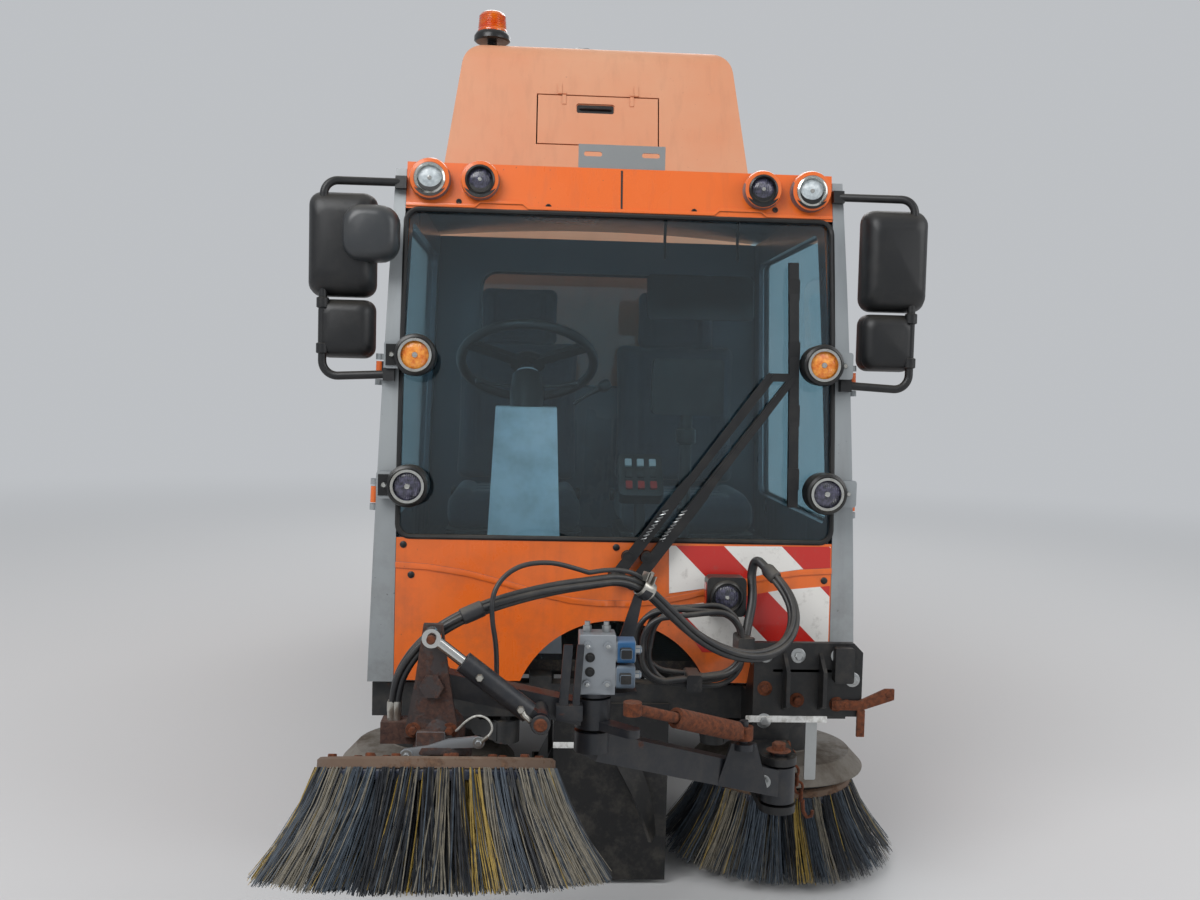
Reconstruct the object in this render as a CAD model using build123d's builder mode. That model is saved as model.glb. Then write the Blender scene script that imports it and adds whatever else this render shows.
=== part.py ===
from build123d import *
import os
from math import atan, atan2, cos, degrees, hypot, radians, sin, sqrt, tan

# Compact road sweeper with a third brush on an arm at the front.
# Sizes are in millimetres. +Z is up, the cab faces -Y, and Z is 0 on the road.
# Places along the machine are given behind the foot of the cab's front; at() puts them in the frame.
# Left and right are the driver's own, so left is +X.

os.makedirs("parts", exist_ok=True)

cab_front = -1469.0


def at(behind):
    """Y of a place that lies this far behind the foot of the cab's front."""
    return cab_front + behind


running = 0.05

# Wheels and axles
tyre_diameter = 696.0
tyre_width = 225.0
rim_diameter = 381.0
rim_width = 175.0
rim_sheet = 12.0
wheel_x = 535.0
front_axle_y = at(1120.0)
wheelbase = 1950.0
rear_axle_y = front_axle_y + wheelbase
axle_z = tyre_diameter / 2
kingpin_x = 372.0
kingpin_radius = 16.0
axle_beam_size = 76.0
eye_height = 110.0
spindle_radius = 24.0
hub_radius = 62.0

# Chassis frame
rail_x = 195.0
rail_width = 60.0
rail_height = 130.0
rail_foot = 440.0
rail_top = rail_foot + rail_height
frame_front = at(30.0)
frame_rear = at(3830.0)
member_inset = 20.0
bumper_z = 500.0
bumper_depth = 90.0
member_width = 60.0
front_member_span = 1290.0
front_wing_depth = 20.0
front_wing_root = 45.0
tank_front = at(1600.0)
tank_length = 1000.0
tank_width = 350.0
tank_height = 560.0
tank_foot = 420.0
leaf_length = 900.0
leaf_width = 50.0
leaf_thickness = 22.0

# Cab shell
cab_sill = 560.0
cab_half_width = 655.0
side_lean = 1.67
front_radius = 6500.0
pillar_top = 1935.0
band_foot = 1826.0
band_top = 1955.0
screen_foot = 945.0
screen_half_width = 585.0
panel_foot = 565.0
panel_arch_half_width = 250.0
panel_arch_rise = 165.0
front_depth = 70.0
glass_thickness = 6.0
glass_inset = 8.0
roof_crown = 12.0
roof_thickness = 40.0
cab_rear = at(1270.0)
rear_window_z = 1560.0
rear_window_width = 860.0
rear_window_height = 420.0
wall_thickness = 36.0
floor_top = 600.0
floor_thickness = 30.0
deck_top = 830.0
riser_y = at(635.0)
door_rear = 1226.0
door_foot = 12.0
door_hinge_x = 76.0
door_hinge_proud = 14.0
cab_door_hinges = (1052.0, 1388.0)
door_thickness = 38.0
door_gap = 6.0
door_head = 1330.0
arch_radius = 470.0
window_foot = 420.0
window_margin = 78.0
window_corner = 40.0

# Hopper
hopper_front = at(1420.0)
hopper_rear = at(3800.0)
hopper_foot = 1020.0
hopper_half_width = 600.0
hood_half_width = 522.0
hood_top = 2700.0
hood_shoulder = 1950.0
hood_lean = 170.0
hopper_wall = 30.0
tail_top = 2440.0
tail_lean = 190.0
tail_door_thickness = 36.0
hopper_swages = (1460.0, 1880.0)
tip_y = at(3660.0)
tip_z = 960.0
tip_pin_radius = 20.0
subframe_plate = 12.0
tail_hinge_x = (-380.0, 380.0)
tail_hinge_rise = 38.0
hatch_hinge_x = (-150.0, 150.0)
lift_base = (at(3378.0), 503.0)
lift_eye = (at(3160.0), 950.0)
lift_x = 290.0

# Side brushes
side_brush_x = 510.0
side_brush_y = at(270.0)
side_brush_tips = 345.0
side_brush_foot = 30.0
side_pivot_x = 285.0
side_pivot_y = at(60.0)
side_arm_z = 415.0
side_hinge_reach = 75.0
drum_radius = 112.0
drum_top = 470.0

# Front brush arm
swing_pin = (400.0, at(-250.0), 380.0)
elbow_pin = (-85.0, at(-540.0), 690.0)
tilt_pin = (-430.0, at(-600.0), 722.0)
arm_pin_radius = 18.0
front_brush = (-417.0, at(-630.0), 552.0)
front_plate_radius = 250.0
front_brush_tips = 372.0
front_brush_tilt = 19.0
front_bristle_length = 236.0
elbow_foot = (285.0, at(-385.0), 545.0)
elbow_eye = (-4.0, at(-621.0), 668.0)
tilt_foot = (-202.0, at(-676.0), 655.0)
tilt_eye = (-430.0, at(-676.0), 830.0)
cylinder_pin_radius = 10.0
hose_bundle_radius = 16.0
hose_clearance = 1.0
hose_port = (-512.0, at(-615.0), 640.0)
hose_meeting = (-85.0, at(-492.0), 918.0)
hose_tie = (391.0, at(-80.0), 889.0)
thin_hose_radius = 6.0
thin_hose_port = (-297.0, at(-606.0), 728.0)
hose_clamp_share = 0.16
arm_hose_route = (hose_port, (-512.0, at(-615.0), 708.0), (-482.0, at(-616.0), 772.0),
                  (-430.0, at(-609.0), 826.0),
                  (-358.0, at(-596.0), 866.0), (-272.0, at(-572.0), 893.0), (-178.0, at(-536.0), 911.0),
                  hose_meeting)
beam_hose_route = (hose_meeting, (-25.0, at(-463.613), 922.516), (35.0, at(-432.0), 896.0),
                   (96.0, at(-408.0), 838.0),
                   (166.0, at(-384.0), 772.0), (246.0, at(-350.0), 727.0), (334.0, at(-304.0), 706.0),
                   (412.0, at(-248.0), 726.0), (447.0, at(-192.0), 785.0), (430.0, at(-132.0), 850.0),
                   hose_tie)
thin_hose_route = (thin_hose_port, (-297.0, at(-606.0), 792.0), (-310.0, at(-618.0), 858.0),
                   (-308.0, at(-606.0), 922.0), (-262.0, at(-578.0), 966.0), (-190.0, at(-545.0), 972.0),
                   (-126.0, at(-515.0), 952.0), (-98.0, at(-500.0), 941.0))
riser_route = (hose_tie, (367.0, at(-48.0), 913.0), (358.0, at(-38.0), 874.0), (360.0, at(-62.0), 804.0),
               (340.0, at(-100.0), 738.0), (331.0, at(-118.0), 706.0))


def side_x(z):
    """Half width of the cab at height z, on its leaning side."""
    return cab_half_width - (z - cab_sill) * sin(radians(side_lean)) / cos(radians(side_lean))


def front_y(z, inset):
    """Y of the cab's curved front at height z, this far behind its skin."""
    return cab_front + front_radius - sqrt((front_radius - inset) ** 2 - (z - cab_sill) ** 2)


def front_band(z_low, z_high, outer, inner):
    """Side view of a stretch of the cab's front between two insets."""
    z_mid = (z_low + z_high) / 2
    with BuildSketch(Plane.YZ) as band:
        with BuildLine():
            skin = ThreePointArc(*[(front_y(z, outer), z) for z in (z_low, z_mid, z_high)])
            back = ThreePointArc(*[(front_y(z, inner), z) for z in (z_high, z_mid, z_low)])
            Line(skin @ 1, back @ 0)
            Line(back @ 1, skin @ 0)
        make_face()
    return band.sketch


# Planes that look at the cab's front and side
front_view = Plane.XZ.offset(-at(400.0))
front_reach = 600.0
side_plane = Plane(
    origin=(cab_half_width, cab_front, cab_sill),
    x_dir=(0, 1, 0),
    z_dir=(cos(radians(side_lean)), 0, sin(radians(side_lean))),
)
front_arch = (front_axle_y - cab_front, axle_z - cab_sill)
hinge_line_plane = Plane(
    origin=side_plane.from_local_coords(Vector(door_hinge_x, 0, door_hinge_proud - 2)),
    x_dir=(0, 1, 0),
    z_dir=side_plane.y_dir,
)
hinge_heights = (cab_door_hinges[0] - cab_sill, cab_door_hinges[1] - cab_sill)


# Chassis frame: two box rails with cross members and the hopper's pivot brackets
cross_members = (at(60.0), at(700.0), at(1400.0), at(2330.0), at(3760.0))
with BuildPart() as chassis_frame:
    with BuildSketch(Plane.XY.offset(rail_foot)):
        with Locations(*[(sign * rail_x, (frame_front + frame_rear) / 2) for sign in (-1, 1)]):
            Rectangle(rail_width, frame_rear - frame_front)
    extrude(amount=rail_height)
    with BuildSketch(Plane.XY.offset(rail_foot + member_inset)):
        with Locations(*[(0, member) for member in cross_members]):
            Rectangle(2 * rail_x, member_width)
        # The front member thins to a flat bar past the side brushes' pins, where their drums swing in
        with Locations((0, cross_members[0])):
            Rectangle(2 * (side_pivot_x + front_wing_root), member_width)
        with Locations((0, frame_front + front_wing_depth / 2)):
            Rectangle(front_member_span, front_wing_depth)
        with Locations((0, at(1720.0)), (0, at(2500.0))):
            Rectangle(560, member_width)
    extrude(amount=rail_height - 2 * member_inset)
    for sign in (-1, 1):
        with BuildSketch(Plane.YZ.offset(sign * rail_x)):
            with BuildLine():
                Polyline((tip_y - 110, rail_top - 10), (tip_y + 110, rail_top - 10),
                         (tip_y + 36, tip_z), (tip_y - 36, tip_z), close=True)
            make_face()
            with Locations((tip_y, tip_z)):
                Circle(38)
                Circle(tip_pin_radius + running, mode=Mode.SUBTRACT)
        extrude(amount=15, both=True)
    # Pins that the hopper's lift cylinders stand on
    for sign in (-1, 1):
        with BuildSketch(Plane.YZ.offset(sign * (rail_x + 20))):
            with Locations(lift_base):
                Circle(16)
        extrude(amount=sign * (lift_x + 30 - rail_x - 20))
    # Pins that the side brush arms swing on
    with BuildSketch(Plane.XY.offset(side_arm_z - 35)):
        with Locations(*[(sign * side_pivot_x, side_pivot_y) for sign in (-1, 1)]):
            Circle(16)
    extrude(amount=rail_foot + member_inset - side_arm_z + 45)

# Axles: the front beam with an eye for each kingpin, the rear tube swelled round its gears,
# and their leaf springs
tube_end = wheel_x - 95
tube_radius = 48.0
gear_radius = 122.0
with BuildPart() as axles:
    with BuildSketch(Plane.XZ.offset(-front_axle_y)):
        with Locations((0, axle_z)):
            Rectangle(2 * kingpin_x, axle_beam_size)
    extrude(amount=axle_beam_size / 2, both=True)
    with BuildSketch(Plane.XY.offset(axle_z)):
        with Locations(*[(sign * kingpin_x, front_axle_y) for sign in (-1, 1)]):
            Circle(36)
    extrude(amount=eye_height / 2, both=True)
    with BuildSketch(Plane.XY.offset(axle_z)):
        with Locations(*[(sign * kingpin_x, front_axle_y) for sign in (-1, 1)]):
            Circle(kingpin_radius + running)
    extrude(amount=eye_height, both=True, mode=Mode.SUBTRACT)
    with BuildSketch(Plane(origin=(0, rear_axle_y, axle_z), x_dir=(1, 0, 0), z_dir=(0, -1, 0))):
        with BuildLine():
            Polyline((140, tube_radius), (tube_end, tube_radius), (tube_end, spindle_radius),
                     (wheel_x + 40, spindle_radius), (wheel_x + 40, 0), (-wheel_x - 40, 0),
                     (-wheel_x - 40, spindle_radius), (-tube_end, spindle_radius), (-tube_end, tube_radius),
                     (-140, tube_radius), (-96, gear_radius - 12), (-62, gear_radius), (62, gear_radius),
                     (96, gear_radius - 12), close=True)
        make_face()
    revolve(axis=Axis((0, rear_axle_y, axle_z), (1, 0, 0)))
    for axle_y, pack_top in ((front_axle_y, axle_z + 60), (rear_axle_y, axle_z + 66)):
        with BuildSketch(Plane.XY.offset(axle_z)):
            with Locations(*[(sign * rail_x, axle_y) for sign in (-1, 1)]):
                Rectangle(leaf_width + 16, 96)
        extrude(amount=pack_top - axle_z + 8)
        for sign in (-1, 1):
            with BuildSketch(Plane.YZ.offset(sign * rail_x)):
                with BuildLine():
                    end_y = leaf_length / 2
                    end_top = rail_foot - 2
                    top = ThreePointArc((axle_y - end_y, end_top), (axle_y, pack_top),
                                        (axle_y + end_y, end_top))
                    under = ThreePointArc((axle_y + end_y, end_top - leaf_thickness),
                                          (axle_y, pack_top - leaf_thickness),
                                          (axle_y - end_y, end_top - leaf_thickness))
                    Line(top @ 1, under @ 0)
                    Line(under @ 1, top @ 0)
                make_face()
                with Locations((axle_y - end_y, rail_foot - 16), (axle_y + end_y, rail_foot - 16)):
                    Circle(16)
            extrude(amount=leaf_width / 2, both=True)

# Knuckle: a kingpin in a yoke, and the spindle that the wheel turns on
with BuildPart() as knuckle_left:
    with BuildSketch(Plane.XY.offset(axle_z)):
        with Locations((kingpin_x, front_axle_y)):
            Circle(kingpin_radius)
    extrude(amount=92, both=True)
    for z in (axle_z - 86, axle_z + 60):
        with BuildSketch(Plane.XY.offset(z)):
            with Locations((kingpin_x, front_axle_y)):
                Circle(34)
            with Locations((kingpin_x + 29, front_axle_y)):
                Rectangle(58, 68)
        extrude(amount=26)
    with BuildSketch(Plane.YZ.offset(kingpin_x + 42)):
        with Locations((front_axle_y, axle_z)):
            Rectangle(68, 172)
    extrude(amount=22)
    with BuildSketch(Plane.YZ.offset(kingpin_x + 50)):
        with Locations((front_axle_y, axle_z)):
            Circle(spindle_radius)
    extrude(amount=wheel_x + 40 - kingpin_x - 50)


def wheel_plane(axle_y):
    """Plane through a left wheel's middle, looking along its spindle from outside."""
    return Plane(origin=(wheel_x, axle_y, axle_z), x_dir=(0, 1, 0), z_dir=(1, 0, 0))


def wheel_section(axle_y):
    """Plane of a wheel's cross section: local x runs outboard, local y runs out from the spindle."""
    return Plane(origin=(wheel_x, axle_y, axle_z), x_dir=(1, 0, 0), z_dir=(0, -1, 0))


wheels = {}
for name, axle_y in (("front", front_axle_y), ("rear", rear_axle_y)):
    spindle_axis = Axis((wheel_x, axle_y, axle_z), (1, 0, 0))
    # Tyre: crowned tread, bulged walls, and beads on the rim
    with BuildPart() as tyre:
        with BuildSketch(wheel_section(axle_y)):
            with BuildLine():
                bead = rim_diameter / 2
                tread = tyre_diameter / 2
                crown = ThreePointArc((-tyre_width * 0.41, tread - 10), (0, tread),
                                      (tyre_width * 0.41, tread - 10))
                outer_wall = ThreePointArc(crown @ 1, (tyre_width / 2, (bead + tread) / 2),
                                           (rim_width / 2, bead))
                foot = Line(outer_wall @ 1, (-rim_width / 2, bead))
                ThreePointArc(foot @ 1, (-tyre_width / 2, (bead + tread) / 2), crown @ 0)
            make_face()
        revolve(axis=spindle_axis)
    # Rim: barrel, dished disc with vent holes, and hub
    with BuildPart() as rim:
        with BuildSketch(wheel_section(axle_y)):
            with Locations((0, rim_diameter / 2 - rim_sheet / 2)):
                Rectangle(rim_width, rim_sheet)
            with Locations((8, rim_diameter / 4)):
                Rectangle(rim_sheet, rim_diameter / 2 - rim_sheet / 2)
            with Locations((0, hub_radius / 2)):
                Rectangle(110, hub_radius)
            Rectangle(400, 2 * spindle_radius + 2 * running, mode=Mode.SUBTRACT)
        revolve(axis=spindle_axis)
        with BuildSketch(wheel_plane(axle_y)):
            with PolarLocations(118, 8):
                Circle(21)
        extrude(amount=60, mode=Mode.SUBTRACT)
    wheels[f"{name}_tyre_left"] = tyre
    wheels[f"{name}_rim_left"] = rim

# Engine: one plain block between the rails, under the hopper
with BuildPart() as engine:
    with BuildSketch(Plane.XY.offset(rail_top)):
        with Locations((0, at(2330.0))):
            Rectangle(460, 640)
    extrude(amount=380)

# Side tanks: rounded tanks between the wheels, on the frame's outriggers
with BuildPart() as side_tanks:
    for sign in (-1, 1):
        with BuildSketch(Plane.XZ.offset(-tank_front)):
            with Locations((sign * (280 + tank_width / 2), tank_foot + tank_height / 2)):
                RectangleRounded(tank_width, tank_height, 60)
        extrude(amount=-tank_length)
        # Moulded swages run round the outer wall, and the cap stands on it
        with BuildSketch(Plane.YZ.offset(sign * (280 + tank_width))):
            with Locations(*[(tank_front + tank_length / 2,
                              tank_foot + tank_height * share) for share in (0.25, 0.5)]):
                SlotOverall(tank_length - 160, 44)
        extrude(amount=sign * -12, mode=Mode.SUBTRACT)
        with BuildSketch(Plane.YZ.offset(sign * (280 + tank_width) - sign * 4)):
            with Locations((tank_front + 180, tank_foot + tank_height * 0.8)):
                Circle(58)
        extrude(amount=sign * 26)

# Rear bumper: a box beam across the rails' ends with a jaw for the tow pin
with BuildPart() as rear_bumper:
    with BuildSketch(Plane.XZ.offset(-frame_rear)):
        with Locations((0, bumper_z)):
            RectangleRounded(1240, 190, 30)
    extrude(amount=-bumper_depth)
    with BuildSketch(Plane.XY.offset(420)):
        with Locations((0, frame_rear + 120)):
            Rectangle(110, 90)
    extrude(amount=24)
    with BuildSketch(Plane.XY.offset(500)):
        with Locations((0, frame_rear + 120)):
            Rectangle(110, 90)
    extrude(amount=24)
    with BuildSketch(Plane.XY.offset(400)):
        with Locations((0, frame_rear + 130)):
            Circle(16)
    extrude(amount=200, mode=Mode.SUBTRACT)

# Suction mouth: a hood open below on two drag arms, and its wide hose up to the hopper's floor
mouth_y = at(800.0)
flap_foot = 12.0
flap_half_width = 156.0
duct_radius = 96.0
with BuildPart() as suction_mouth:
    with BuildSketch(Plane.XY.offset(40)):
        with Locations((0, mouth_y)):
            Rectangle(400, 260)
    with BuildSketch(Plane.XY.offset(210)):
        with Locations((0, mouth_y + 20)):
            Rectangle(240, 220)
    loft()
    with BuildSketch(Plane.XY.offset(39)):
        with Locations((0, mouth_y)):
            Rectangle(384, 244)
    with BuildSketch(Plane.XY.offset(202)):
        with Locations((0, mouth_y + 20)):
            Rectangle(224, 204)
    loft(mode=Mode.SUBTRACT)
    for sign in (-1, 1):
        with BuildSketch(Plane.YZ.offset(sign * 150)):
            with BuildLine():
                Polyline((mouth_y - 40, 120), (mouth_y - 75, 120), (at(690.0), rail_foot + member_inset),
                         (at(725.0), rail_foot + member_inset), close=True)
            make_face()
        extrude(amount=7, both=True)
    with BuildLine():
        FilletPolyline((0, mouth_y + 20, 206), (0, mouth_y + 20, 500), (0, at(1560.0), 760),
                       (0, at(1560.0), hopper_foot - 6), radius=(150, 150))
    with BuildSketch(Plane.XY.offset(206)):
        with Locations((0, mouth_y + 20)):
            Circle(duct_radius)
    sweep()

# Guards and flaps: arches over the rear wheels, the debris flap on the front member, and the mouth's skirt
with BuildPart() as guards_and_flaps:
    for sign in (-1, 1):
        with BuildSketch(Plane.YZ.offset(sign * wheel_x)):
            with Locations((rear_axle_y, axle_z)):
                Circle(412)
                Circle(404, mode=Mode.SUBTRACT)
            with Locations((rear_axle_y, axle_z - 300)):
                Rectangle(1000, 800, mode=Mode.SUBTRACT)
        extrude(amount=122, both=True)
        with BuildSketch(Plane.XY.offset(rail_foot + 60)):
            web_x = sign * (rail_x + rail_width / 2 + 103)
            with Locations((web_x, rear_axle_y - 388), (web_x, rear_axle_y + 388)):
                Rectangle(206, 24)
        extrude(amount=30)
    with BuildSketch(Plane.XZ.offset(-cross_members[0] + member_width / 2)):
        with Locations((0, (flap_foot + rail_foot + 60) / 2)):
            Rectangle(2 * flap_half_width, rail_foot + 60 - flap_foot)
    extrude(amount=10)
    with BuildSketch(Plane.XY.offset(12)):
        with Locations((0, mouth_y)):
            Rectangle(416, 276)
            Rectangle(400.4, 260.4, mode=Mode.SUBTRACT)
    extrude(amount=60)

# Cab floor: footwell, riser and seat deck over the front wheels, on the frame
with BuildPart() as cab_floor:
    with BuildSketch(Plane.YZ):
        with BuildLine():
            Polyline((at(95.0), floor_top - floor_thickness), (riser_y, floor_top - floor_thickness),
                     (riser_y, deck_top - floor_thickness), (cab_rear, deck_top - floor_thickness),
                     (cab_rear, deck_top), (riser_y - floor_thickness, deck_top),
                     (riser_y - floor_thickness, floor_top), (at(95.0), floor_top), close=True)
        make_face()
    extrude(amount=608, both=True)

# Front panel: the painted apron between the pillars, arched over the brush arm
with BuildPart() as cab_front_panel:
    with BuildSketch(front_view):
        with BuildLine():
            Polyline((-panel_arch_half_width, panel_foot), (-screen_half_width, panel_foot),
                     (-screen_half_width, screen_foot), (screen_half_width, screen_foot),
                     (screen_half_width, panel_foot), (panel_arch_half_width, panel_foot))
            ThreePointArc((panel_arch_half_width, panel_foot), (0, panel_foot + panel_arch_rise),
                          (-panel_arch_half_width, panel_foot))
        make_face()
    extrude(amount=front_reach)
    extrude(front_band(panel_foot - 10, screen_foot + 10, 0, 40), amount=cab_half_width, both=True,
            mode=Mode.INTERSECT)

# Pillars: the bare-metal corner posts that lean in with the cab's sides, with the door hinges' eyes
with BuildPart() as cab_pillars:
    with BuildSketch(front_view):
        with BuildLine():
            Polyline((screen_half_width + 1, cab_sill), (side_x(cab_sill), cab_sill),
                     (side_x(pillar_top), pillar_top), (screen_half_width + 1, pillar_top), close=True)
        make_face()
    extrude(amount=front_reach)
    extrude(front_band(cab_sill - 10, pillar_top + 10, 0, front_depth), amount=cab_half_width + 20,
            both=True,
            mode=Mode.INTERSECT)
    for height in hinge_heights:
        for rise in (-34, 34):
            with BuildSketch(hinge_line_plane.offset(height + rise - 8)):
                Circle(11)
                with Locations((0, door_hinge_proud / 2)):
                    Rectangle(18, door_hinge_proud + 4)
            extrude(amount=16)
    mirror(about=Plane.YZ)

# Fixed glass: the curved windscreen between the pillars, and the rear window
with BuildPart() as cab_windows:
    with BuildSketch(front_view):
        with Locations((0, (screen_foot + band_foot) / 2)):
            RectangleRounded(2 * screen_half_width - 4, band_foot - screen_foot - 4, 30)
    extrude(amount=front_reach)
    extrude(front_band(screen_foot, band_foot, glass_inset, glass_inset + glass_thickness),
            amount=cab_half_width, both=True, mode=Mode.INTERSECT)
    with BuildSketch(Plane.XZ.offset(-cab_rear + wall_thickness / 2)):
        with Locations((0, rear_window_z)):
            RectangleRounded(rear_window_width - 0.4, rear_window_height - 0.4, 60)
    extrude(amount=-glass_thickness)

# Roof: the lamp band over the windscreen and the crowned roof behind it
with BuildPart() as cab_roof:
    with BuildSketch(front_view):
        with Locations((0, (band_foot + band_top) / 2)):
            Rectangle(2 * screen_half_width, band_top - band_foot)
    extrude(amount=front_reach)
    extrude(front_band(band_foot - 10, band_top + 10, 0, front_depth), amount=cab_half_width, both=True,
            mode=Mode.INTERSECT)
    with BuildSketch(Plane.XZ.offset(-front_y(band_top, front_depth))):
        with BuildLine():
            edge = side_x(band_top)
            top = ThreePointArc((-edge, pillar_top + 1), (0, band_top + roof_crown), (edge, pillar_top + 1))
            Line((edge, pillar_top + 1), (edge, pillar_top - roof_thickness))
            under = ThreePointArc((edge, pillar_top - roof_thickness),
                                  (0, band_top + roof_crown - roof_thickness),
                                  (-edge, pillar_top - roof_thickness))
            Line((-edge, pillar_top - roof_thickness), (-edge, pillar_top + 1))
        make_face()
    extrude(amount=-(cab_rear - front_y(band_top, front_depth)))
    # The posts' heads stand in front of the roof's corners
    with BuildSketch(front_view):
        for sign in (-1, 1):
            with BuildLine():
                Polyline((sign * screen_half_width, cab_sill), (sign * (side_x(cab_sill) + 9), cab_sill),
                         (sign * (side_x(pillar_top) + 9), pillar_top + 1),
                         (sign * screen_half_width, pillar_top + 1), close=True)
            make_face()
    extrude(amount=front_reach, mode=Mode.SUBTRACT)

# Rear wall of the cab, with its window cut
with BuildPart() as cab_rear_wall:
    with BuildSketch(Plane.XZ.offset(-cab_rear + wall_thickness)):
        with BuildLine():
            low = deck_top
            high = pillar_top - roof_thickness - 4
            Polyline((-side_x(low), low), (side_x(low), low), (side_x(high), high), (-side_x(high), high),
                     close=True)
        make_face()
        with Locations((0, rear_window_z)):
            RectangleRounded(rear_window_width, rear_window_height, 60, mode=Mode.SUBTRACT)
    extrude(amount=-wall_thickness)



def pillar_edge(height, gap):
    """Place of the pillar's rear edge at this height over the sill, from the side, with a gap behind it."""
    return front_y(cab_sill + height, front_depth) - cab_front + gap


def door_outline(low, high, front_gap, rear, corner):
    """Side view of a door or its window, with a front edge that follows the pillar."""
    with BuildSketch(side_plane) as outline:
        with BuildLine():
            edge = ThreePointArc(*[(pillar_edge(h, front_gap), h) for h in (low, (low + high) / 2, high)])
            Polyline(edge @ 1, (rear, high), (rear, low), edge @ 0)
        make_face()
        if corner:
            fillet(outline.vertices(), corner)
    return outline.sketch


# Left door: a thick leaf with its window cut, its tail cleared round the wheel, and two strap hinges
with BuildPart() as door_left:
    extrude(door_outline(door_foot, door_head, door_gap, door_rear, 0), amount=-door_thickness)
    extrude(door_outline(window_foot, door_head - window_margin, door_gap + window_margin,
                         door_rear - window_margin, window_corner), amount=-door_thickness,
                         mode=Mode.SUBTRACT)
    with BuildSketch(side_plane):
        with Locations(front_arch):
            Circle(arch_radius)
    extrude(amount=-door_thickness, mode=Mode.SUBTRACT)
    with BuildSketch(side_plane):
        for height in hinge_heights:
            strap_front = door_hinge_x
            strap_rear = pillar_edge(height, door_gap + 60)
            with Locations(((strap_front + strap_rear) / 2, height)):
                Rectangle(strap_rear - strap_front, 44)
    extrude(amount=door_hinge_proud)
    with BuildSketch(side_plane):
        for height in hinge_heights:
            with Locations((pillar_edge(height, 0) / 2 + door_hinge_x / 2, height)):
                Rectangle(pillar_edge(height, 0) - door_hinge_x + 24, 60)
    extrude(amount=3, mode=Mode.SUBTRACT)
    for height in hinge_heights:
        with BuildSketch(hinge_line_plane.offset(height - 22)):
            Circle(10)
        extrude(amount=44)
    # Handle: a recessed grip behind the window's foot
    with BuildSketch(side_plane):
        with Locations((door_rear - 130, window_foot - 70)):
            RectangleRounded(150, 46, 12)
    extrude(amount=-16, mode=Mode.SUBTRACT)
    with BuildSketch(side_plane.offset(-18)):
        with Locations((door_rear - 130, window_foot - 64)):
            Rectangle(120, 22)
    extrude(amount=14)

# Glass of the left door
with BuildPart() as door_glass_left:
    glass_outline = door_outline(window_foot + 0.2, door_head - window_margin - 0.2,
                                 door_gap + window_margin + 0.2,
                                 door_rear - window_margin - 0.2, window_corner)
    extrude(glass_outline, amount=-16 - glass_thickness)
    extrude(glass_outline, amount=-16, mode=Mode.SUBTRACT)

# Seats: cushion, backrest and headrest, the driver's and the passenger's
with BuildPart() as seats:
    for x in (-285.0, 285.0):
        with BuildSketch(Plane.YZ.offset(x)):
            with BuildLine():
                Polyline((at(690.0), deck_top), (at(1130.0), deck_top), (at(1225.0), 1500),
                         (at(1150.0), 1520),
                         (at(1090.0), 1015), (at(680.0), 1015), close=True)
            make_face()
            fillet(vertices(), 22)
        extrude(amount=225, both=True)
        with BuildSketch(Plane.YZ.offset(x)):
            with Locations((at(1180.0), 1600)):
                RectangleRounded(80, 210, 30)
        extrude(amount=140, both=True)

# Steering column, its console, and the screen on an arm
wheel_tilt = 32.0
steering_centre = (-250.0, at(545.0), 1425.0)
steering_plane = Plane(origin=steering_centre, x_dir=(1, 0, 0),
                       z_dir=(0, sin(radians(wheel_tilt)), cos(radians(wheel_tilt))))
steering_shaft_radius = 20.0
with BuildPart() as dashboard:
    with BuildSketch(Plane.XY.offset(floor_top)):
        with Locations((-250, at(270.0))):
            Rectangle(230, 200)
    with BuildSketch(Plane.XY.offset(1290)):
        with Locations((-250, at(430.0))):
            Rectangle(180, 150)
    loft()
    with BuildSketch(Plane.XZ.offset(-at(350.0))):
        with Locations((224, 1360)):
            RectangleRounded(210, 165, 14)
    extrude(amount=28, both=True)
    with BuildSketch(Plane.XY.offset(floor_top)):
        with Locations((224, at(352.0))):
            Circle(18)
    extrude(amount=700)
    with BuildSketch(steering_plane.offset(-200)):
        Circle(36)
    extrude(amount=160)
    with BuildSketch(steering_plane.offset(-160)):
        Circle(steering_shaft_radius + running)
    extrude(amount=160, mode=Mode.SUBTRACT)

# Steering wheel, on its raked column
with BuildPart() as steering_wheel:
    with BuildSketch(Plane(origin=steering_centre, x_dir=(1, 0, 0),
                           z_dir=(0, -cos(radians(wheel_tilt)), sin(radians(wheel_tilt))))):
        with Locations((205, 0)):
            Circle(15)
    revolve(axis=Axis(steering_centre, tuple(steering_plane.z_dir)))
    with BuildSketch(steering_plane.offset(-14)):
        Circle(48)
        for angle in (90, 210, 330):
            with Locations(Rot(0, 0, angle) * Pos(105, 0)):
                Rectangle(190, 34)
    extrude(amount=18)
    with BuildSketch(steering_plane.offset(-140)):
        Circle(steering_shaft_radius)
    extrude(amount=130)

# Wiper: two parallel arms and one upright blade
with BuildPart() as wiper:
    with BuildSketch(front_view):
        for x0 in (30.0, 80.0):
            with BuildLine():
                Polyline((x0 - 8, 895), (x0 + 8, 895), (x0 + 398, 1400), (x0 + 382, 1400), close=True)
            make_face()
        with Locations((470, 1375)):
            Rectangle(26, 660)
        with Locations((446, 1392)):
            Rectangle(72, 22)
    extrude(amount=front_reach)
    extrude(front_band(880, 1720, -30, -12), amount=cab_half_width, both=True, mode=Mode.INTERSECT)
    for x0 in (30.0, 80.0):
        with BuildSketch(Plane.XZ.offset(-front_y(905 - 16, 0))):
            with Locations((x0, 905)):
                Circle(16)
        extrude(amount=34)

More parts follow.
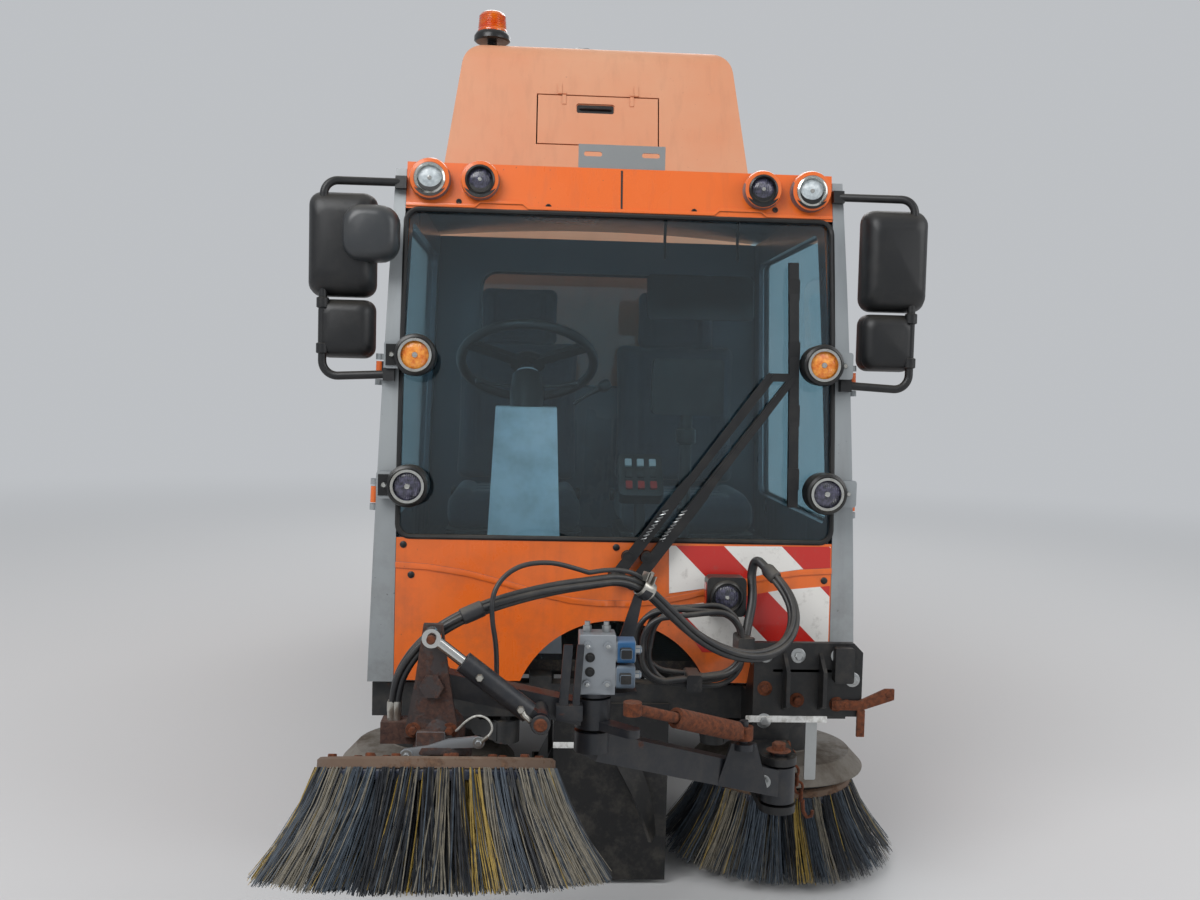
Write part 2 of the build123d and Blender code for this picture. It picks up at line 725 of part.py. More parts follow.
# Mirrors: two heads each side on a tube that loops out from the pillar
mirror_y = at(75.0)
mirror_tube_x = cab_half_width + 135.0
mirror_root = cab_half_width - 40.0
with BuildPart() as mirrors:
    with BuildSketch(front_view):
        for z in (1375.0, 1893.0):
            with Locations(*[(sign * (side_x(z) - 18), z) for sign in (-1, 1)]):
                Rectangle(30, 34)
    extrude(amount=front_reach)
    extrude(front_band(1340, 1925, -26, 0), amount=cab_half_width + 20, both=True, mode=Mode.INTERSECT)
    for sign in (-1, 1):
        with BuildLine():
            FilletPolyline((sign * mirror_root, front_y(1375, -14), 1375),
                           (sign * mirror_tube_x, mirror_y - 30, 1366),
                           (sign * mirror_tube_x, mirror_y - 30, 1880),
                           (sign * (mirror_root - 15), front_y(1893, -14), 1893),
                           radius=40)
        with BuildSketch(Plane(origin=(sign * mirror_root, front_y(1375, -14), 1375),
                               z_dir=(sign * (mirror_tube_x - mirror_root),
                                      mirror_y - 30 - front_y(1375, -14), -9))):
            Circle(11)
        sweep()
        with BuildSketch(Plane.XZ.offset(-mirror_y + 20)):
            with Locations((sign * (mirror_tube_x - 46), 1716)):
                RectangleRounded(168, 262, 30)
            with Locations((sign * (mirror_tube_x - 58), 1494)):
                RectangleRounded(142, 146, 26)
        extrude(amount=-44)
    # Kerb mirror: a shallow dish held off the right mirror's head, inboard of it
    with BuildSketch(Plane.XZ.offset(-mirror_y + 34)):
        with Locations((126 - mirror_tube_x, 1742)):
            RectangleRounded(136, 138, 40)
    extrude(amount=26)
    with BuildSketch(Plane.XZ.offset(-mirror_y + 44)):
        with Locations((90 - mirror_tube_x, 1742)):
            Rectangle(36, 30)
    extrude(amount=-34)

# Lamps: four on the roof band, and an amber and a clear one held off each pillar
roof_lamp_z = 1905.0
work_lamp = (288.0, 812.0)
corner_lamps = ((1427.0, 541.0), (1086.0, 552.0))
with BuildPart() as lamps:
    with BuildSketch(front_view):
        with Locations(*[(x, roof_lamp_z) for x in (-521, -386, 386, 521)]):
            Circle(48)
    extrude(amount=front_reach)
    extrude(front_band(1850, 1960, -30, 0), amount=cab_half_width, both=True, mode=Mode.INTERSECT)
    for z, x in corner_lamps:
        with BuildSketch(Plane.XZ.offset(-front_y(z, 0) + 12)):
            with Locations((-x, z), (x, z)):
                Circle(54)
        extrude(amount=50)
        with BuildSketch(Plane.XZ.offset(-front_y(z - 28, 0))):
            with Locations((-(x + 62), z), (x + 62, z)):
                Rectangle(34, 56)
        extrude(amount=40)
        with BuildSketch(Plane.XZ.offset(-front_y(z, 0) + 12)):
            with Locations((-(x + 40), z), (x + 40, z)):
                Rectangle(60, 40)
        extrude(amount=22)
    with BuildSketch(Plane.XZ.offset(-at(-20.0))):
        with Locations(work_lamp):
            RectangleRounded(104, 104, 14)
    extrude(amount=54)
    with BuildSketch(Plane.XZ.offset(-front_y(work_lamp[1] - 20, 0))):
        with Locations(work_lamp):
            Rectangle(40, 40)
    extrude(amount=front_y(work_lamp[1] - 20, 0) - at(-20.0))
    with BuildSketch(Plane.XZ.offset(-frame_rear - bumper_depth)):
        with Locations(*[(sign * 500, bumper_z) for sign in (-1, 1)]):
            RectangleRounded(210, 96, 12)
    extrude(amount=-32)

# Plate bracket on the lamp band: a bent steel strip with slots for a board
bracket_y = at(160.0)
with BuildPart() as roof_bracket:
    with BuildSketch(Plane.YZ):
        with BuildLine():
            Polyline((bracket_y, band_top), (bracket_y + 50, band_top), (bracket_y + 50, band_top + 6),
                     (bracket_y + 6, band_top + 6), (bracket_y + 6, band_top + 66),
                     (bracket_y, band_top + 66), close=True)
        make_face()
    extrude(amount=120, both=True)
    with BuildSketch(Plane.XZ.offset(-bracket_y - 20)):
        with Locations((-80, band_top + 40), (80, band_top + 40)):
            SlotOverall(50, 13)
    extrude(amount=40, both=True, mode=Mode.SUBTRACT)

# Arm bracket: the bolted plates at the left front that carry the brush arm's swing pin
swing_x, swing_y, swing_z = swing_pin
bracket_side = 355.0
bracket_width = 286.0
bracket_top = 705.0
bracket_foot = 395.0
bracket_shelf = 512.0
bracket_leg = 97.0
with BuildPart() as arm_bracket:
    # Its plate is stepped: a leg behind the swing pin, and a shelf over the side brush's drum
    with BuildSketch(Plane.XZ.offset(-at(-130.0))):
        with BuildLine():
            leg_side = bracket_side + bracket_leg
            far_side = bracket_side + bracket_width
            Polyline((bracket_side, bracket_foot), (leg_side, bracket_foot), (leg_side, bracket_shelf - 34),
                     (leg_side + 62, bracket_shelf), (far_side, bracket_shelf), (far_side, bracket_top - 24),
                     (far_side - 24, bracket_top), (bracket_side, bracket_top), close=True)
        make_face()
    extrude(amount=-20)
    for x, foot in ((bracket_side + 8, 440.0), (bracket_side + bracket_width - 8, bracket_shelf)):
        with BuildSketch(Plane.YZ.offset(x)):
            with BuildLine():
                Polyline((at(-110.0), foot), (frame_front, foot), (frame_front, 554), (at(-20.0), 554),
                         (at(-80.0), 640),
                         (at(-110.0), 640), close=True)
            make_face()
        extrude(amount=8, both=True)
    with BuildSketch(Plane.XY.offset(swing_z)):
        with Locations((swing_x, (swing_y + at(-110.0)) / 2)):
            Rectangle(90, at(-110.0) - swing_y)
        with Locations((swing_x, swing_y)):
            Circle(45)
    extrude(amount=70, both=True)
    with BuildSketch(Plane.XY.offset(swing_z)):
        with Locations((swing_x, swing_y - 20)):
            Rectangle(130, 180)
    extrude(amount=51, both=True, mode=Mode.SUBTRACT)
    with BuildSketch(Plane.XY.offset(swing_z)):
        with Locations((swing_x, swing_y)):
            Circle(arm_pin_radius + running)
    extrude(amount=90, both=True, mode=Mode.SUBTRACT)


def hose_path(route, name):
    """Path of a hose: straight runs joined by arcs as large as the runs allow."""
    spots = [Vector(*spot) for spot in route]
    radii = []
    for before, corner, after in zip(spots, spots[1:], spots[2:]):
        arriving = corner - before
        leaving = after - corner
        half_turn = radians(arriving.get_angle(leaving)) / 2
        radii.append(0.45 * min(arriving.length, leaving.length) / tan(half_turn))
    with BuildLine() as path:
        FilletPolyline(*spots, radius=radii)
    print(name, "arcs", [round(radius) for radius in radii], "length", round(path.wire().length))
    return path.wire()


# Lines of the hoses that cross the arm's joints
arm_hose_line = hose_path(arm_hose_route, "arm_hoses")
beam_hose_line = hose_path(beam_hose_route, "beam_hoses")
thin_hose_line = hose_path(thin_hose_route, "thin hose")
riser_line = hose_path(riser_route, "riser")

# Swing beam: a box beam from its pin up to the elbow pin, with the gusset of the elbow cylinder's foot
elbow_x, elbow_y, elbow_z = elbow_pin
column_foot = 552.0
column_radius = 40.0
column_top = 598.0
hub_foot = column_top + 8
hub_top = hub_foot + 66
block_foot = hub_top + 12
with BuildPart() as swing_beam:
    with BuildSketch(Plane.XY.offset(swing_z)):
        with Locations((swing_x, swing_y)):
            Circle(42)
    extrude(amount=45, both=True)
    with BuildSketch(Plane.XY.offset(swing_z)):
        with Locations((swing_x, swing_y)):
            Circle(arm_pin_radius)
    extrude(amount=80, both=True)
    beam_start = Vector(swing_x, swing_y, swing_z)
    beam_end = Vector(elbow_x, elbow_y, column_top - 32)
    with BuildSketch(Plane(origin=beam_start, z_dir=beam_end - beam_start)):
        Rectangle(64, 64)
    extrude(amount=(beam_end - beam_start).length)
    with BuildSketch(Plane.XY.offset(column_foot)):
        with Locations((elbow_x, elbow_y)):
            Circle(column_radius)
    extrude(amount=column_top - column_foot)
    with BuildSketch(Plane.XY.offset(column_foot)):
        with Locations((elbow_x, elbow_y)):
            Circle(arm_pin_radius)
    extrude(amount=hub_top - column_foot)
    with BuildSketch(Plane.XY.offset(hub_top + 5)):
        with Locations((elbow_x, elbow_y)):
            Circle(39)
    extrude(amount=block_foot - hub_top - 5)
    with BuildSketch(Plane.XY.offset(hub_top - 1)):
        with Locations((elbow_x, elbow_y)):
            Circle(arm_pin_radius)
    extrude(amount=8)
    # Gusset: a web on the beam under a boss with the cylinder's pin
    foot_x, foot_y, foot_z = elbow_foot
    with BuildSketch(Plane.XZ.offset(-foot_y)):
        with BuildLine():
            Polyline((foot_x - 62, 420), (foot_x + 62, 400), (foot_x + 30, foot_z - 24),
                     (foot_x - 30, foot_z - 24), close=True)
        make_face()
    extrude(amount=7, both=True)
    with BuildSketch(Plane.XY.offset(430)):
        with Locations((foot_x, foot_y + 34)):
            Rectangle(50, 68)
    extrude(amount=40)
    with BuildSketch(Plane.XY.offset(foot_z - 40)):
        with Locations((foot_x, foot_y)):
            Circle(24)
    extrude(amount=16)
    with BuildSketch(Plane.XY.offset(foot_z - 30)):
        with Locations((foot_x, foot_y)):
            Circle(cylinder_pin_radius)
    extrude(amount=60)
    # Strip under the valve block, bent up behind it, with the clamp of the hoses
    hose_clamp = beam_hose_line @ hose_clamp_share
    clamp_y = hose_clamp.Y
    with BuildSketch(Plane.XY.offset(hub_top + 5)):
        with Locations((-14, (clamp_y + elbow_y) / 2)):
            Rectangle(52, clamp_y - elbow_y + 8)
        with Locations((elbow_x / 2 - 7, elbow_y + 8)):
            Rectangle(-elbow_x - 14, 50)
    extrude(amount=block_foot - hub_top - 5)
    with BuildSketch(Plane.XZ.offset(-clamp_y)):
        with BuildLine():
            Polyline((-40, hub_top + 5), (12, hub_top + 5), (12, block_foot + 90),
                     (hose_clamp.X - 5, hose_clamp.Z - 22), (hose_clamp.X - 22, hose_clamp.Z - 6),
                     (-24, block_foot + 90), (-40, block_foot + 40), close=True)
        make_face()
    extrude(amount=4, both=True)
    with BuildSketch(Plane(origin=hose_clamp, z_dir=beam_hose_line % hose_clamp_share)):
        Circle(hose_bundle_radius + 8)
        Circle(hose_bundle_radius + hose_clearance, mode=Mode.SUBTRACT)
    extrude(amount=11, both=True)

# Valve block on the elbow pin, with two coils
with BuildPart() as valve_block:
    with BuildSketch(Plane.XY.offset(block_foot)):
        with Locations((elbow_x + 6, elbow_y)):
            Rectangle(80, 62)
    extrude(amount=132)
    chamfer(valve_block.edges().group_by(Axis.Z)[-1], 2)
    for rise in (38.0, 94.0):
        with BuildSketch(Plane.YZ.offset(elbow_x + 46)):
            with Locations((elbow_y - 4, block_foot + rise)):
                RectangleRounded(50, 46, 6)
        extrude(amount=44)
        with BuildSketch(Plane.YZ.offset(elbow_x + 90)):
            with Locations((elbow_y - 4, block_foot + rise)):
                Circle(9)
        extrude(amount=10)
    with BuildSketch(Plane.XZ.offset(-elbow_y + 31)):
        with GridLocations(44, 84, 2, 2):
            with Locations((elbow_x + 6, block_foot + 66)):
                Circle(9)
    extrude(amount=8)

# Brush arm: a box arm from the elbow's hub to the tilt pin, with the elbow cylinder's lever
tilt_x, tilt_y, tilt_z = tilt_pin
with BuildPart() as brush_arm:
    with BuildSketch(Plane.XY.offset(hub_foot)):
        with Locations((elbow_x, elbow_y)):
            Circle(40)
    extrude(amount=hub_top - hub_foot)
    arm_start = Vector(elbow_x - 20, elbow_y - 4, hub_foot + 32)
    arm_end = Vector(tilt_x, tilt_y, tilt_z)
    with BuildSketch(Plane(origin=arm_start, z_dir=arm_end - arm_start)):
        Rectangle(50, 50)
    extrude(amount=(arm_end - arm_start).length)
    with BuildSketch(Plane.XZ.offset(-tilt_y)):
        with Locations((tilt_x, tilt_z)):
            Circle(36)
    extrude(amount=30, both=True)
    with BuildSketch(Plane.XY.offset(hub_foot)):
        with BuildLine():
            lever = Vector(elbow_eye[0] - elbow_x, elbow_eye[1] - elbow_y, 0)
            across = Vector(-lever.Y, lever.X, 0).normalized() * 18
            hub = Vector(elbow_x, elbow_y, 0)
            tip = hub + lever
            Line(hub - across, tip - across)
            ThreePointArc(tip - across, tip + lever.normalized() * 18, tip + across)
            Polyline(tip + across, hub + across, hub - across)
        make_face()
    extrude(amount=18)
    with BuildSketch(Plane.XY.offset(hub_foot)):
        with Locations((elbow_x, elbow_y)):
            Circle(arm_pin_radius + running)
    extrude(amount=150, mode=Mode.SUBTRACT)
    with BuildSketch(Plane.XZ.offset(-tilt_y)):
        with Locations((tilt_x, tilt_z)):
            Circle(arm_pin_radius + running)
    extrude(amount=60, both=True, mode=Mode.SUBTRACT)
    with BuildSketch(Plane.XY.offset(tilt_z - 36)):
        with Locations(thin_hose_port[:2]):
            Circle(thin_hose_radius + 4)
    extrude(amount=thin_hose_port[2] - tilt_z + 36)
    # Boss and pin of the tilt cylinder's foot
    with BuildSketch(Plane.XZ.offset(-tilt_foot[1] - 18)):
        with Locations((tilt_foot[0], tilt_foot[2])):
            Circle(18)
    extrude(amount=-(tilt_y + 20 - tilt_foot[1] - 18))
    with BuildSketch(Plane.XZ.offset(-tilt_foot[1] + 20)):
        with Locations((tilt_foot[0], tilt_foot[2])):
            Circle(cylinder_pin_radius)
    extrude(amount=-50)

# Tilt head: the upright plate that the front brush's motor hangs from
brush_x, brush_y, brush_z = front_brush
brush_axis = (0, sin(radians(front_brush_tilt)), cos(radians(front_brush_tilt)))
brush_plane = Plane(origin=front_brush, x_dir=(1, 0, 0), z_dir=brush_axis)
with BuildPart() as tilt_head:
    with BuildSketch(Plane.XZ.offset(-tilt_y + 36)):
        with BuildLine():
            head_foot = brush_z + 60
            head_top = tilt_eye[2] + 22
            Polyline((tilt_x - 58, head_foot), (tilt_x + 58, head_foot), (tilt_x + 36, tilt_z + 10),
                     (tilt_x + 20, head_top),
                     (tilt_x - 20, head_top), (tilt_x - 36, tilt_z + 10), close=True)
        make_face()
    extrude(amount=18)
    with BuildSketch(Plane.XZ.offset(-tilt_y + 54)):
        with Locations((tilt_x, tilt_z)):
            Circle(arm_pin_radius)
    extrude(amount=-92)
    with BuildSketch(Plane.XZ.offset(-tilt_y + 66)):
        with Locations((tilt_x, tilt_z)):
            RegularPolygon(26, 6)
    extrude(amount=-12)
    with BuildSketch(brush_plane.offset(12)):
        Circle(55)
    extrude(amount=75)
    with BuildSketch(Plane.XY.offset(hose_port[2] - 46)):
        with Locations(((hose_port[0] - 26 + brush_x - 20) / 2, hose_port[1])):
            Rectangle(brush_x - 20 - hose_port[0] + 26, 52)
    extrude(amount=46)

# Front brush: plate, ring and splayed bristles
with BuildPart() as front_brush_rotor:
    section = Plane(origin=front_brush, x_dir=(1, 0, 0),
                    z_dir=(0, -cos(radians(front_brush_tilt)), sin(radians(front_brush_tilt))))
    with BuildSketch(section):
        with BuildLine():
            Polyline((0, 8), (front_plate_radius, 8), (front_plate_radius, -30),
                     (front_brush_tips, -front_bristle_length),
                     (front_brush_tips - 90, -front_bristle_length), (front_plate_radius - 70, -30),
                     (0, -30), close=True)
        make_face()
    revolve(axis=Axis(front_brush, brush_axis))


# Side brushes: a carrier that swings on the frame, an arm that lifts, and the brush under its cover
reach = Vector(side_brush_x - side_pivot_x, side_brush_y - side_pivot_y, 0)
reach_dir = reach.normalized()
hinge_place = Vector(side_pivot_x, side_pivot_y, side_arm_z) + reach_dir * side_hinge_reach
arm_plane = Plane(origin=hinge_place, x_dir=reach_dir, z_dir=(-reach_dir.Y, reach_dir.X, 0))
with BuildPart() as side_carrier_left:
    with BuildSketch(Plane.XY.offset(side_arm_z - 30)):
        with Locations((side_pivot_x, side_pivot_y)):
            Circle(36)
    extrude(amount=60)
    for side_offset in (-38.0, 26.0):
        with BuildSketch(arm_plane.offset(side_offset)):
            with Locations((-side_hinge_reach / 2 - 8, 0)):
                Rectangle(side_hinge_reach - 16, 50)
            Circle(25)
        extrude(amount=12)
    with BuildSketch(Plane.XY.offset(side_arm_z - 40)):
        with Locations((side_pivot_x, side_pivot_y)):
            Circle(16 + running)
    extrude(amount=80, mode=Mode.SUBTRACT)
    with BuildSketch(arm_plane.offset(-38)):
        Circle(12)
    extrude(amount=76)

with BuildPart() as side_arm_left:
    with BuildSketch(arm_plane):
        Circle(24)
    extrude(amount=20, both=True)
    arm_length = reach.length - side_hinge_reach
    with BuildSketch(arm_plane):
        with Locations((arm_length / 2, 0)):
            Rectangle(arm_length, 40)
    extrude(amount=20, both=True)
    with BuildSketch(arm_plane):
        Circle(12 + running)
    extrude(amount=40, both=True, mode=Mode.SUBTRACT)
    # Motor drum over a dished cover, turned from one profile
    with BuildSketch(Plane(origin=(side_brush_x, side_brush_y, 0), x_dir=(1, 0, 0), z_dir=(0, -1, 0))):
        with BuildLine():
            Polyline((0, 262), (236, 262), (245, 270), (205, 312), (drum_radius, 322), (drum_radius, 456),
                     (drum_radius - 14, drum_top), (0, drum_top), close=True)
        make_face()
    revolve(axis=Axis((side_brush_x, side_brush_y, 0), (0, 0, 1)))

with BuildPart() as side_brush_left:
    with BuildSketch(Plane(origin=(side_brush_x, side_brush_y, 0), x_dir=(1, 0, 0), z_dir=(0, -1, 0))):
        with BuildLine():
            Polyline((0, 250), (215, 250), (215, 205), (side_brush_tips, side_brush_foot),
                     (side_brush_tips - 90, side_brush_foot), (150, 205), (0, 205), close=True)
        make_face()
    revolve(axis=Axis((side_brush_x, side_brush_y, 0), (0, 0, 1)))


def cylinder_plane(start, end):
    """Plane at a cylinder's foot, looking along it."""
    return Plane(origin=start, z_dir=Vector(*end) - Vector(*start))


# Cylinders of the brush arm: one turns the elbow, one tilts the head
arm_cylinders = {}
for name, start, end, barrel_length, rod_start, pin_reach, eye_plane in (
    ("elbow", elbow_foot, elbow_eye, 250.0, 150.0, 14.0, Plane.XY),
    ("tilt", tilt_foot, tilt_eye, 205.0, 70.0, 17.0, Plane.XZ),
):
    length = (Vector(*end) - Vector(*start)).length
    foot_plane = Plane(origin=start, x_dir=(1, 0, 0), z_dir=eye_plane.z_dir)
    end_plane = Plane(origin=end, x_dir=(1, 0, 0), z_dir=eye_plane.z_dir)
    with BuildPart() as barrel:
        with BuildSketch(cylinder_plane(start, end).offset(30)):
            Circle(23)
        extrude(amount=barrel_length - 30)
        with BuildSketch(cylinder_plane(start, end)):
            Rectangle(28, 28)
        extrude(amount=34)
        with BuildSketch(foot_plane):
            Circle(22)
        extrude(amount=15, both=True)
        with BuildSketch(cylinder_plane(start, end).offset(48)):
            Circle(14.5)
        extrude(amount=barrel_length, mode=Mode.SUBTRACT)
        with BuildSketch(foot_plane):
            Circle(cylinder_pin_radius + running)
        extrude(amount=40, both=True, mode=Mode.SUBTRACT)
    with BuildPart() as rod:
        with BuildSketch(cylinder_plane(start, end).offset(rod_start)):
            Circle(12)
        extrude(amount=length - rod_start)
        with BuildSketch(end_plane):
            Circle(20)
        extrude(amount=14, both=True)
        with BuildSketch(end_plane):
            Circle(cylinder_pin_radius)
        extrude(amount=-pin_reach)
    arm_cylinders[f"{name}_cylinder_barrel"] = barrel
    arm_cylinders[f"{name}_cylinder_rod"] = rod


# Hoses that cross the arm's joints: one bundle from the brush motor to above the elbow, one on to the tie
with BuildPart() as arm_hoses:
    with BuildSketch(Plane(origin=arm_hose_line @ 0, z_dir=arm_hose_line % 0)):
        Circle(hose_bundle_radius)
    sweep(path=arm_hose_line)
    with BuildSketch(Plane(origin=thin_hose_line @ 0, z_dir=thin_hose_line % 0)):
        Circle(thin_hose_radius)
    sweep(path=thin_hose_line)

with BuildPart() as beam_hoses:
    with BuildSketch(Plane(origin=beam_hose_line @ 0, z_dir=beam_hose_line % 0)):
        Circle(hose_bundle_radius)
    sweep(path=beam_hose_line)

# Hose coil strapped to the arm bracket's edge: turns of thin hose, each a rounded loop a little off the last
coil_turns = (
    # across, rise, half width, half height, lean in degrees
    (186.0, 690.0, 146.0, 98.0, 4.0),
    (196.0, 700.0, 132.0, 84.0, -7.0),
    (180.0, 700.0, 148.0, 90.0, 8.0),
    (200.0, 692.0, 128.0, 96.0, -3.0),
    (188.0, 698.0, 140.0, 82.0, 7.0),
)
coil_hose_radius = 7.0
riser_radius = 12.0
coil_back = at(-92.0)
coil_spacing = 16.0
strap_length = coil_spacing * len(coil_turns) + 4
with BuildPart() as hose_coil:
    for k, (across, rise, half_width, half_height, lean) in enumerate(coil_turns):
        loop_plane = Plane(origin=(across, coil_back - coil_spacing * k, rise),
                           x_dir=(cos(radians(lean)), 0, sin(radians(lean))), z_dir=(0, -1, 0))
        with BuildLine(loop_plane) as loop:
            FilletPolyline((-half_width, -half_height), (half_width, -half_height),
                           (half_width * 0.9, half_height),
                           (-half_width * 0.84, half_height), radius=half_height * 0.8, close=True)
        with BuildSketch(Plane(origin=loop.wire() @ 0, z_dir=loop.wire() % 0)):
            Circle(coil_hose_radius)
        sweep(path=loop.wire())
    with BuildSketch(Plane(origin=riser_line @ 0, z_dir=riser_line % 0)):
        Circle(riser_radius)
    sweep(path=riser_line)
    for across, rise in ((196.0, 604.0), (326.0, 700.0)):
        with BuildSketch(Plane.XZ.offset(-coil_back - 10)):
            with Locations((across, rise)):
                RectangleRounded(40, 44, 8)
        extrude(amount=strap_length)
    with BuildSketch(Plane.XZ.offset(-at(-130.0))):
        with Locations((bracket_side - 8, 700)):
            Rectangle(16, 30)
    extrude(amount=-20)

section_view = Plane.XZ.offset(-hopper_front + 200)


def hopper_section(inset):
    """Front view of the hopper: upright walls, and a hood drawn in towards its rounded top."""
    with BuildSketch(section_view) as section:
        with BuildLine():
            Polyline((-hopper_half_width + 40, hopper_foot), (hopper_half_width - 40, hopper_foot),
                     (hopper_half_width, hopper_foot + 220), (hopper_half_width, 2120),
                     (hood_half_width, hood_top), (-hood_half_width, hood_top),
                     (-hopper_half_width, 2120), (-hopper_half_width, hopper_foot + 220), close=True)
        make_face()
        fillet(section.vertices().group_by(Axis.Y)[-1], 110)
        if inset:
            offset(amount=-inset, kind=Kind.INTERSECTION, mode=Mode.REPLACE)
    return section.sketch


def hopper_profile():
    """Side view of the hopper: a leaning front, a roof that falls to the rear, and a leaning tail."""
    with BuildSketch(Plane.YZ) as profile:
        with BuildLine():
            Polyline((hopper_front, hopper_foot), (hopper_front, hood_shoulder),
                     (hopper_front + hood_lean, hood_top),
                     (hopper_front + 900, hood_top), (hopper_rear - tail_lean, tail_top),
                     (hopper_rear, hopper_foot),
                     close=True)
        make_face()
        fillet(profile.vertices().sort_by(lambda v: (v.Y - v.X))[-1], 90)
    return profile.sketch


lean_angle = degrees(atan(hood_lean / (hood_top - hood_shoulder)))
hatch_z = 2390.0
hatch_plane = Plane(
    origin=(0, hopper_front + hood_lean * (hatch_z - hood_shoulder) / (hood_top - hood_shoulder), hatch_z),
    x_dir=(1, 0, 0),
    z_dir=(0, -cos(radians(lean_angle)), sin(radians(lean_angle))),
)
hatch_width = 470.0
hatch_height = 200.0
hatch_gap = 5.0
hatch_hinge_rise = hatch_height / 2 + hatch_gap + 3
hatch_hinge_plane = Plane(
    origin=hatch_plane.from_local_coords((0, hatch_hinge_rise, 5)), x_dir=(0, 1, 0), z_dir=(1, 0, 0)
)
tail_plane_y = hopper_rear - tail_lean
tail_hinge_y = tail_plane_y + 20
tail_hinge_z = tail_top + tail_hinge_rise

# Hopper shell: hollow, open at the tail, its walls stiffened by pressed swages
with BuildPart() as hopper_room:
    extrude(hopper_section(hopper_wall), amount=-3400)
    with BuildSketch(Plane.YZ):
        with BuildLine():
            Polyline((hopper_front + hopper_wall, hopper_foot + hopper_wall),
                     (hopper_front + hopper_wall, hood_shoulder),
                     (hopper_front + hood_lean + hopper_wall, hood_top - hopper_wall),
                     (hopper_front + 900, hood_top - hopper_wall),
                     (tail_plane_y + 60, tail_top - hopper_wall - 20),
                     (hopper_rear + 60, hopper_foot + hopper_wall), close=True)
        make_face()
    extrude(amount=800, both=True, mode=Mode.INTERSECT)

with BuildPart() as hopper_shell:
    extrude(hopper_section(0), amount=-3200)
    extrude(hopper_profile(), amount=800, both=True, mode=Mode.INTERSECT)
    add(hopper_room.part, mode=Mode.SUBTRACT)
    for sign in (-1, 1):
        with BuildSketch(Plane.YZ.offset(sign * hopper_half_width)):
            for swage_z in hopper_swages:
                with Locations((hopper_front + 1080, swage_z)):
                    RectangleRounded(1840, 90, 30)
        extrude(amount=sign * 12)
    with BuildSketch(hatch_plane.offset(20)):
        Rectangle(hatch_width + 2 * hatch_gap, hatch_height + 2 * hatch_gap)
    extrude(amount=-80, mode=Mode.SUBTRACT)
    # Ears of the tail door's hinge and eyes of the hatch's hinge
    for x in tail_hinge_x:
        with BuildSketch(Plane.YZ.offset(x + (24 if x < 0 else -24))):
            with BuildLine():
                Polyline((tail_plane_y - 90, tail_top + 8), (tail_plane_y - 24, tail_top - 4),
                         (tail_hinge_y - 4, tail_hinge_z - 13),
                         (tail_hinge_y, tail_hinge_z + 14), (tail_hinge_y - 16, tail_hinge_z + 13),
                         close=True)
            make_face()
            with Locations((tail_hinge_y, tail_hinge_z)):
                Circle(14)
        extrude(amount=6, both=True)
        with BuildSketch(Plane.YZ.offset(x)):
            with Locations((tail_hinge_y, tail_hinge_z)):
                Circle(8)
        extrude(amount=30, both=True)
    for x in hatch_hinge_x:
        with BuildSketch(hatch_plane):
            with Locations((x, hatch_hinge_rise + 20)):
                Rectangle(16, 40)
        extrude(amount=4)
        with BuildSketch(hatch_hinge_plane.offset(x)):
            Circle(5)
        extrude(amount=8, both=True)

# Hopper subframe: bolted under the shell's floor, with the lugs of the tip pin and of the lift cylinders
with BuildPart() as hopper_subframe:
    for plate_y, half_width, half_length in ((tip_y, 264.0, 84.0), (lift_eye[0], 336.0, 84.0)):
        with BuildSketch(Plane.XY.offset(hopper_foot - subframe_plate)):
            with Locations((0, plate_y)):
                Rectangle(2 * half_width, 2 * half_length)
        extrude(amount=subframe_plate)
    for sign in (-1, 1):
        with BuildSketch(Plane.XY.offset(hopper_foot - 34)):
            with Locations((sign * 232, (tip_y + lift_eye[0]) / 2)):
                Rectangle(28, tip_y - lift_eye[0])
        extrude(amount=34)
    for x in (-250.0, -140.0, 140.0, 250.0):
        with BuildSketch(Plane.YZ.offset(x)):
            with BuildLine():
                Polyline((tip_y - 70, hopper_foot - 2), (tip_y + 70, hopper_foot - 2),
                         (tip_y + 30, tip_z), (tip_y - 30, tip_z), close=True)
            make_face()
            with Locations((tip_y, tip_z)):
                Circle(32)
        extrude(amount=12, both=True)
    with BuildSketch(Plane.YZ):
        with Locations((tip_y, tip_z)):
            Circle(tip_pin_radius)
    extrude(amount=262, both=True)
    eye_y, eye_z = lift_eye
    for sign in (-1, 1):
        for x in (lift_x - 36, lift_x + 36):
            with BuildSketch(Plane.YZ.offset(sign * x)):
                with BuildLine():
                    Polyline((eye_y - 70, hopper_foot - 2), (eye_y + 70, hopper_foot - 2),
                             (eye_y + 26, eye_z - 20), (eye_y - 26, eye_z - 20), close=True)
                make_face()
            extrude(amount=5, both=True)

# Hatch in the hood's front, flush with its skin, hung from its top edge
with BuildPart() as hood_hatch:
    with BuildSketch(hatch_plane):
        Rectangle(hatch_width, hatch_height)
    extrude(amount=-14)
    with BuildSketch(hatch_plane):
        with Locations((-10, 50)):
            RectangleRounded(150, 40, 10)
    extrude(amount=-8, mode=Mode.SUBTRACT)
    for x in hatch_hinge_x:
        with BuildSketch(hatch_plane):
            with Locations(((x + 17 if x < 0 else x - 17), hatch_hinge_rise - 22)):
                Rectangle(14, 44)
        extrude(amount=4)
        with BuildSketch(hatch_hinge_plane.offset(x + 17 if x < 0 else x - 17)):
            Circle(5)
        extrude(amount=7, both=True)

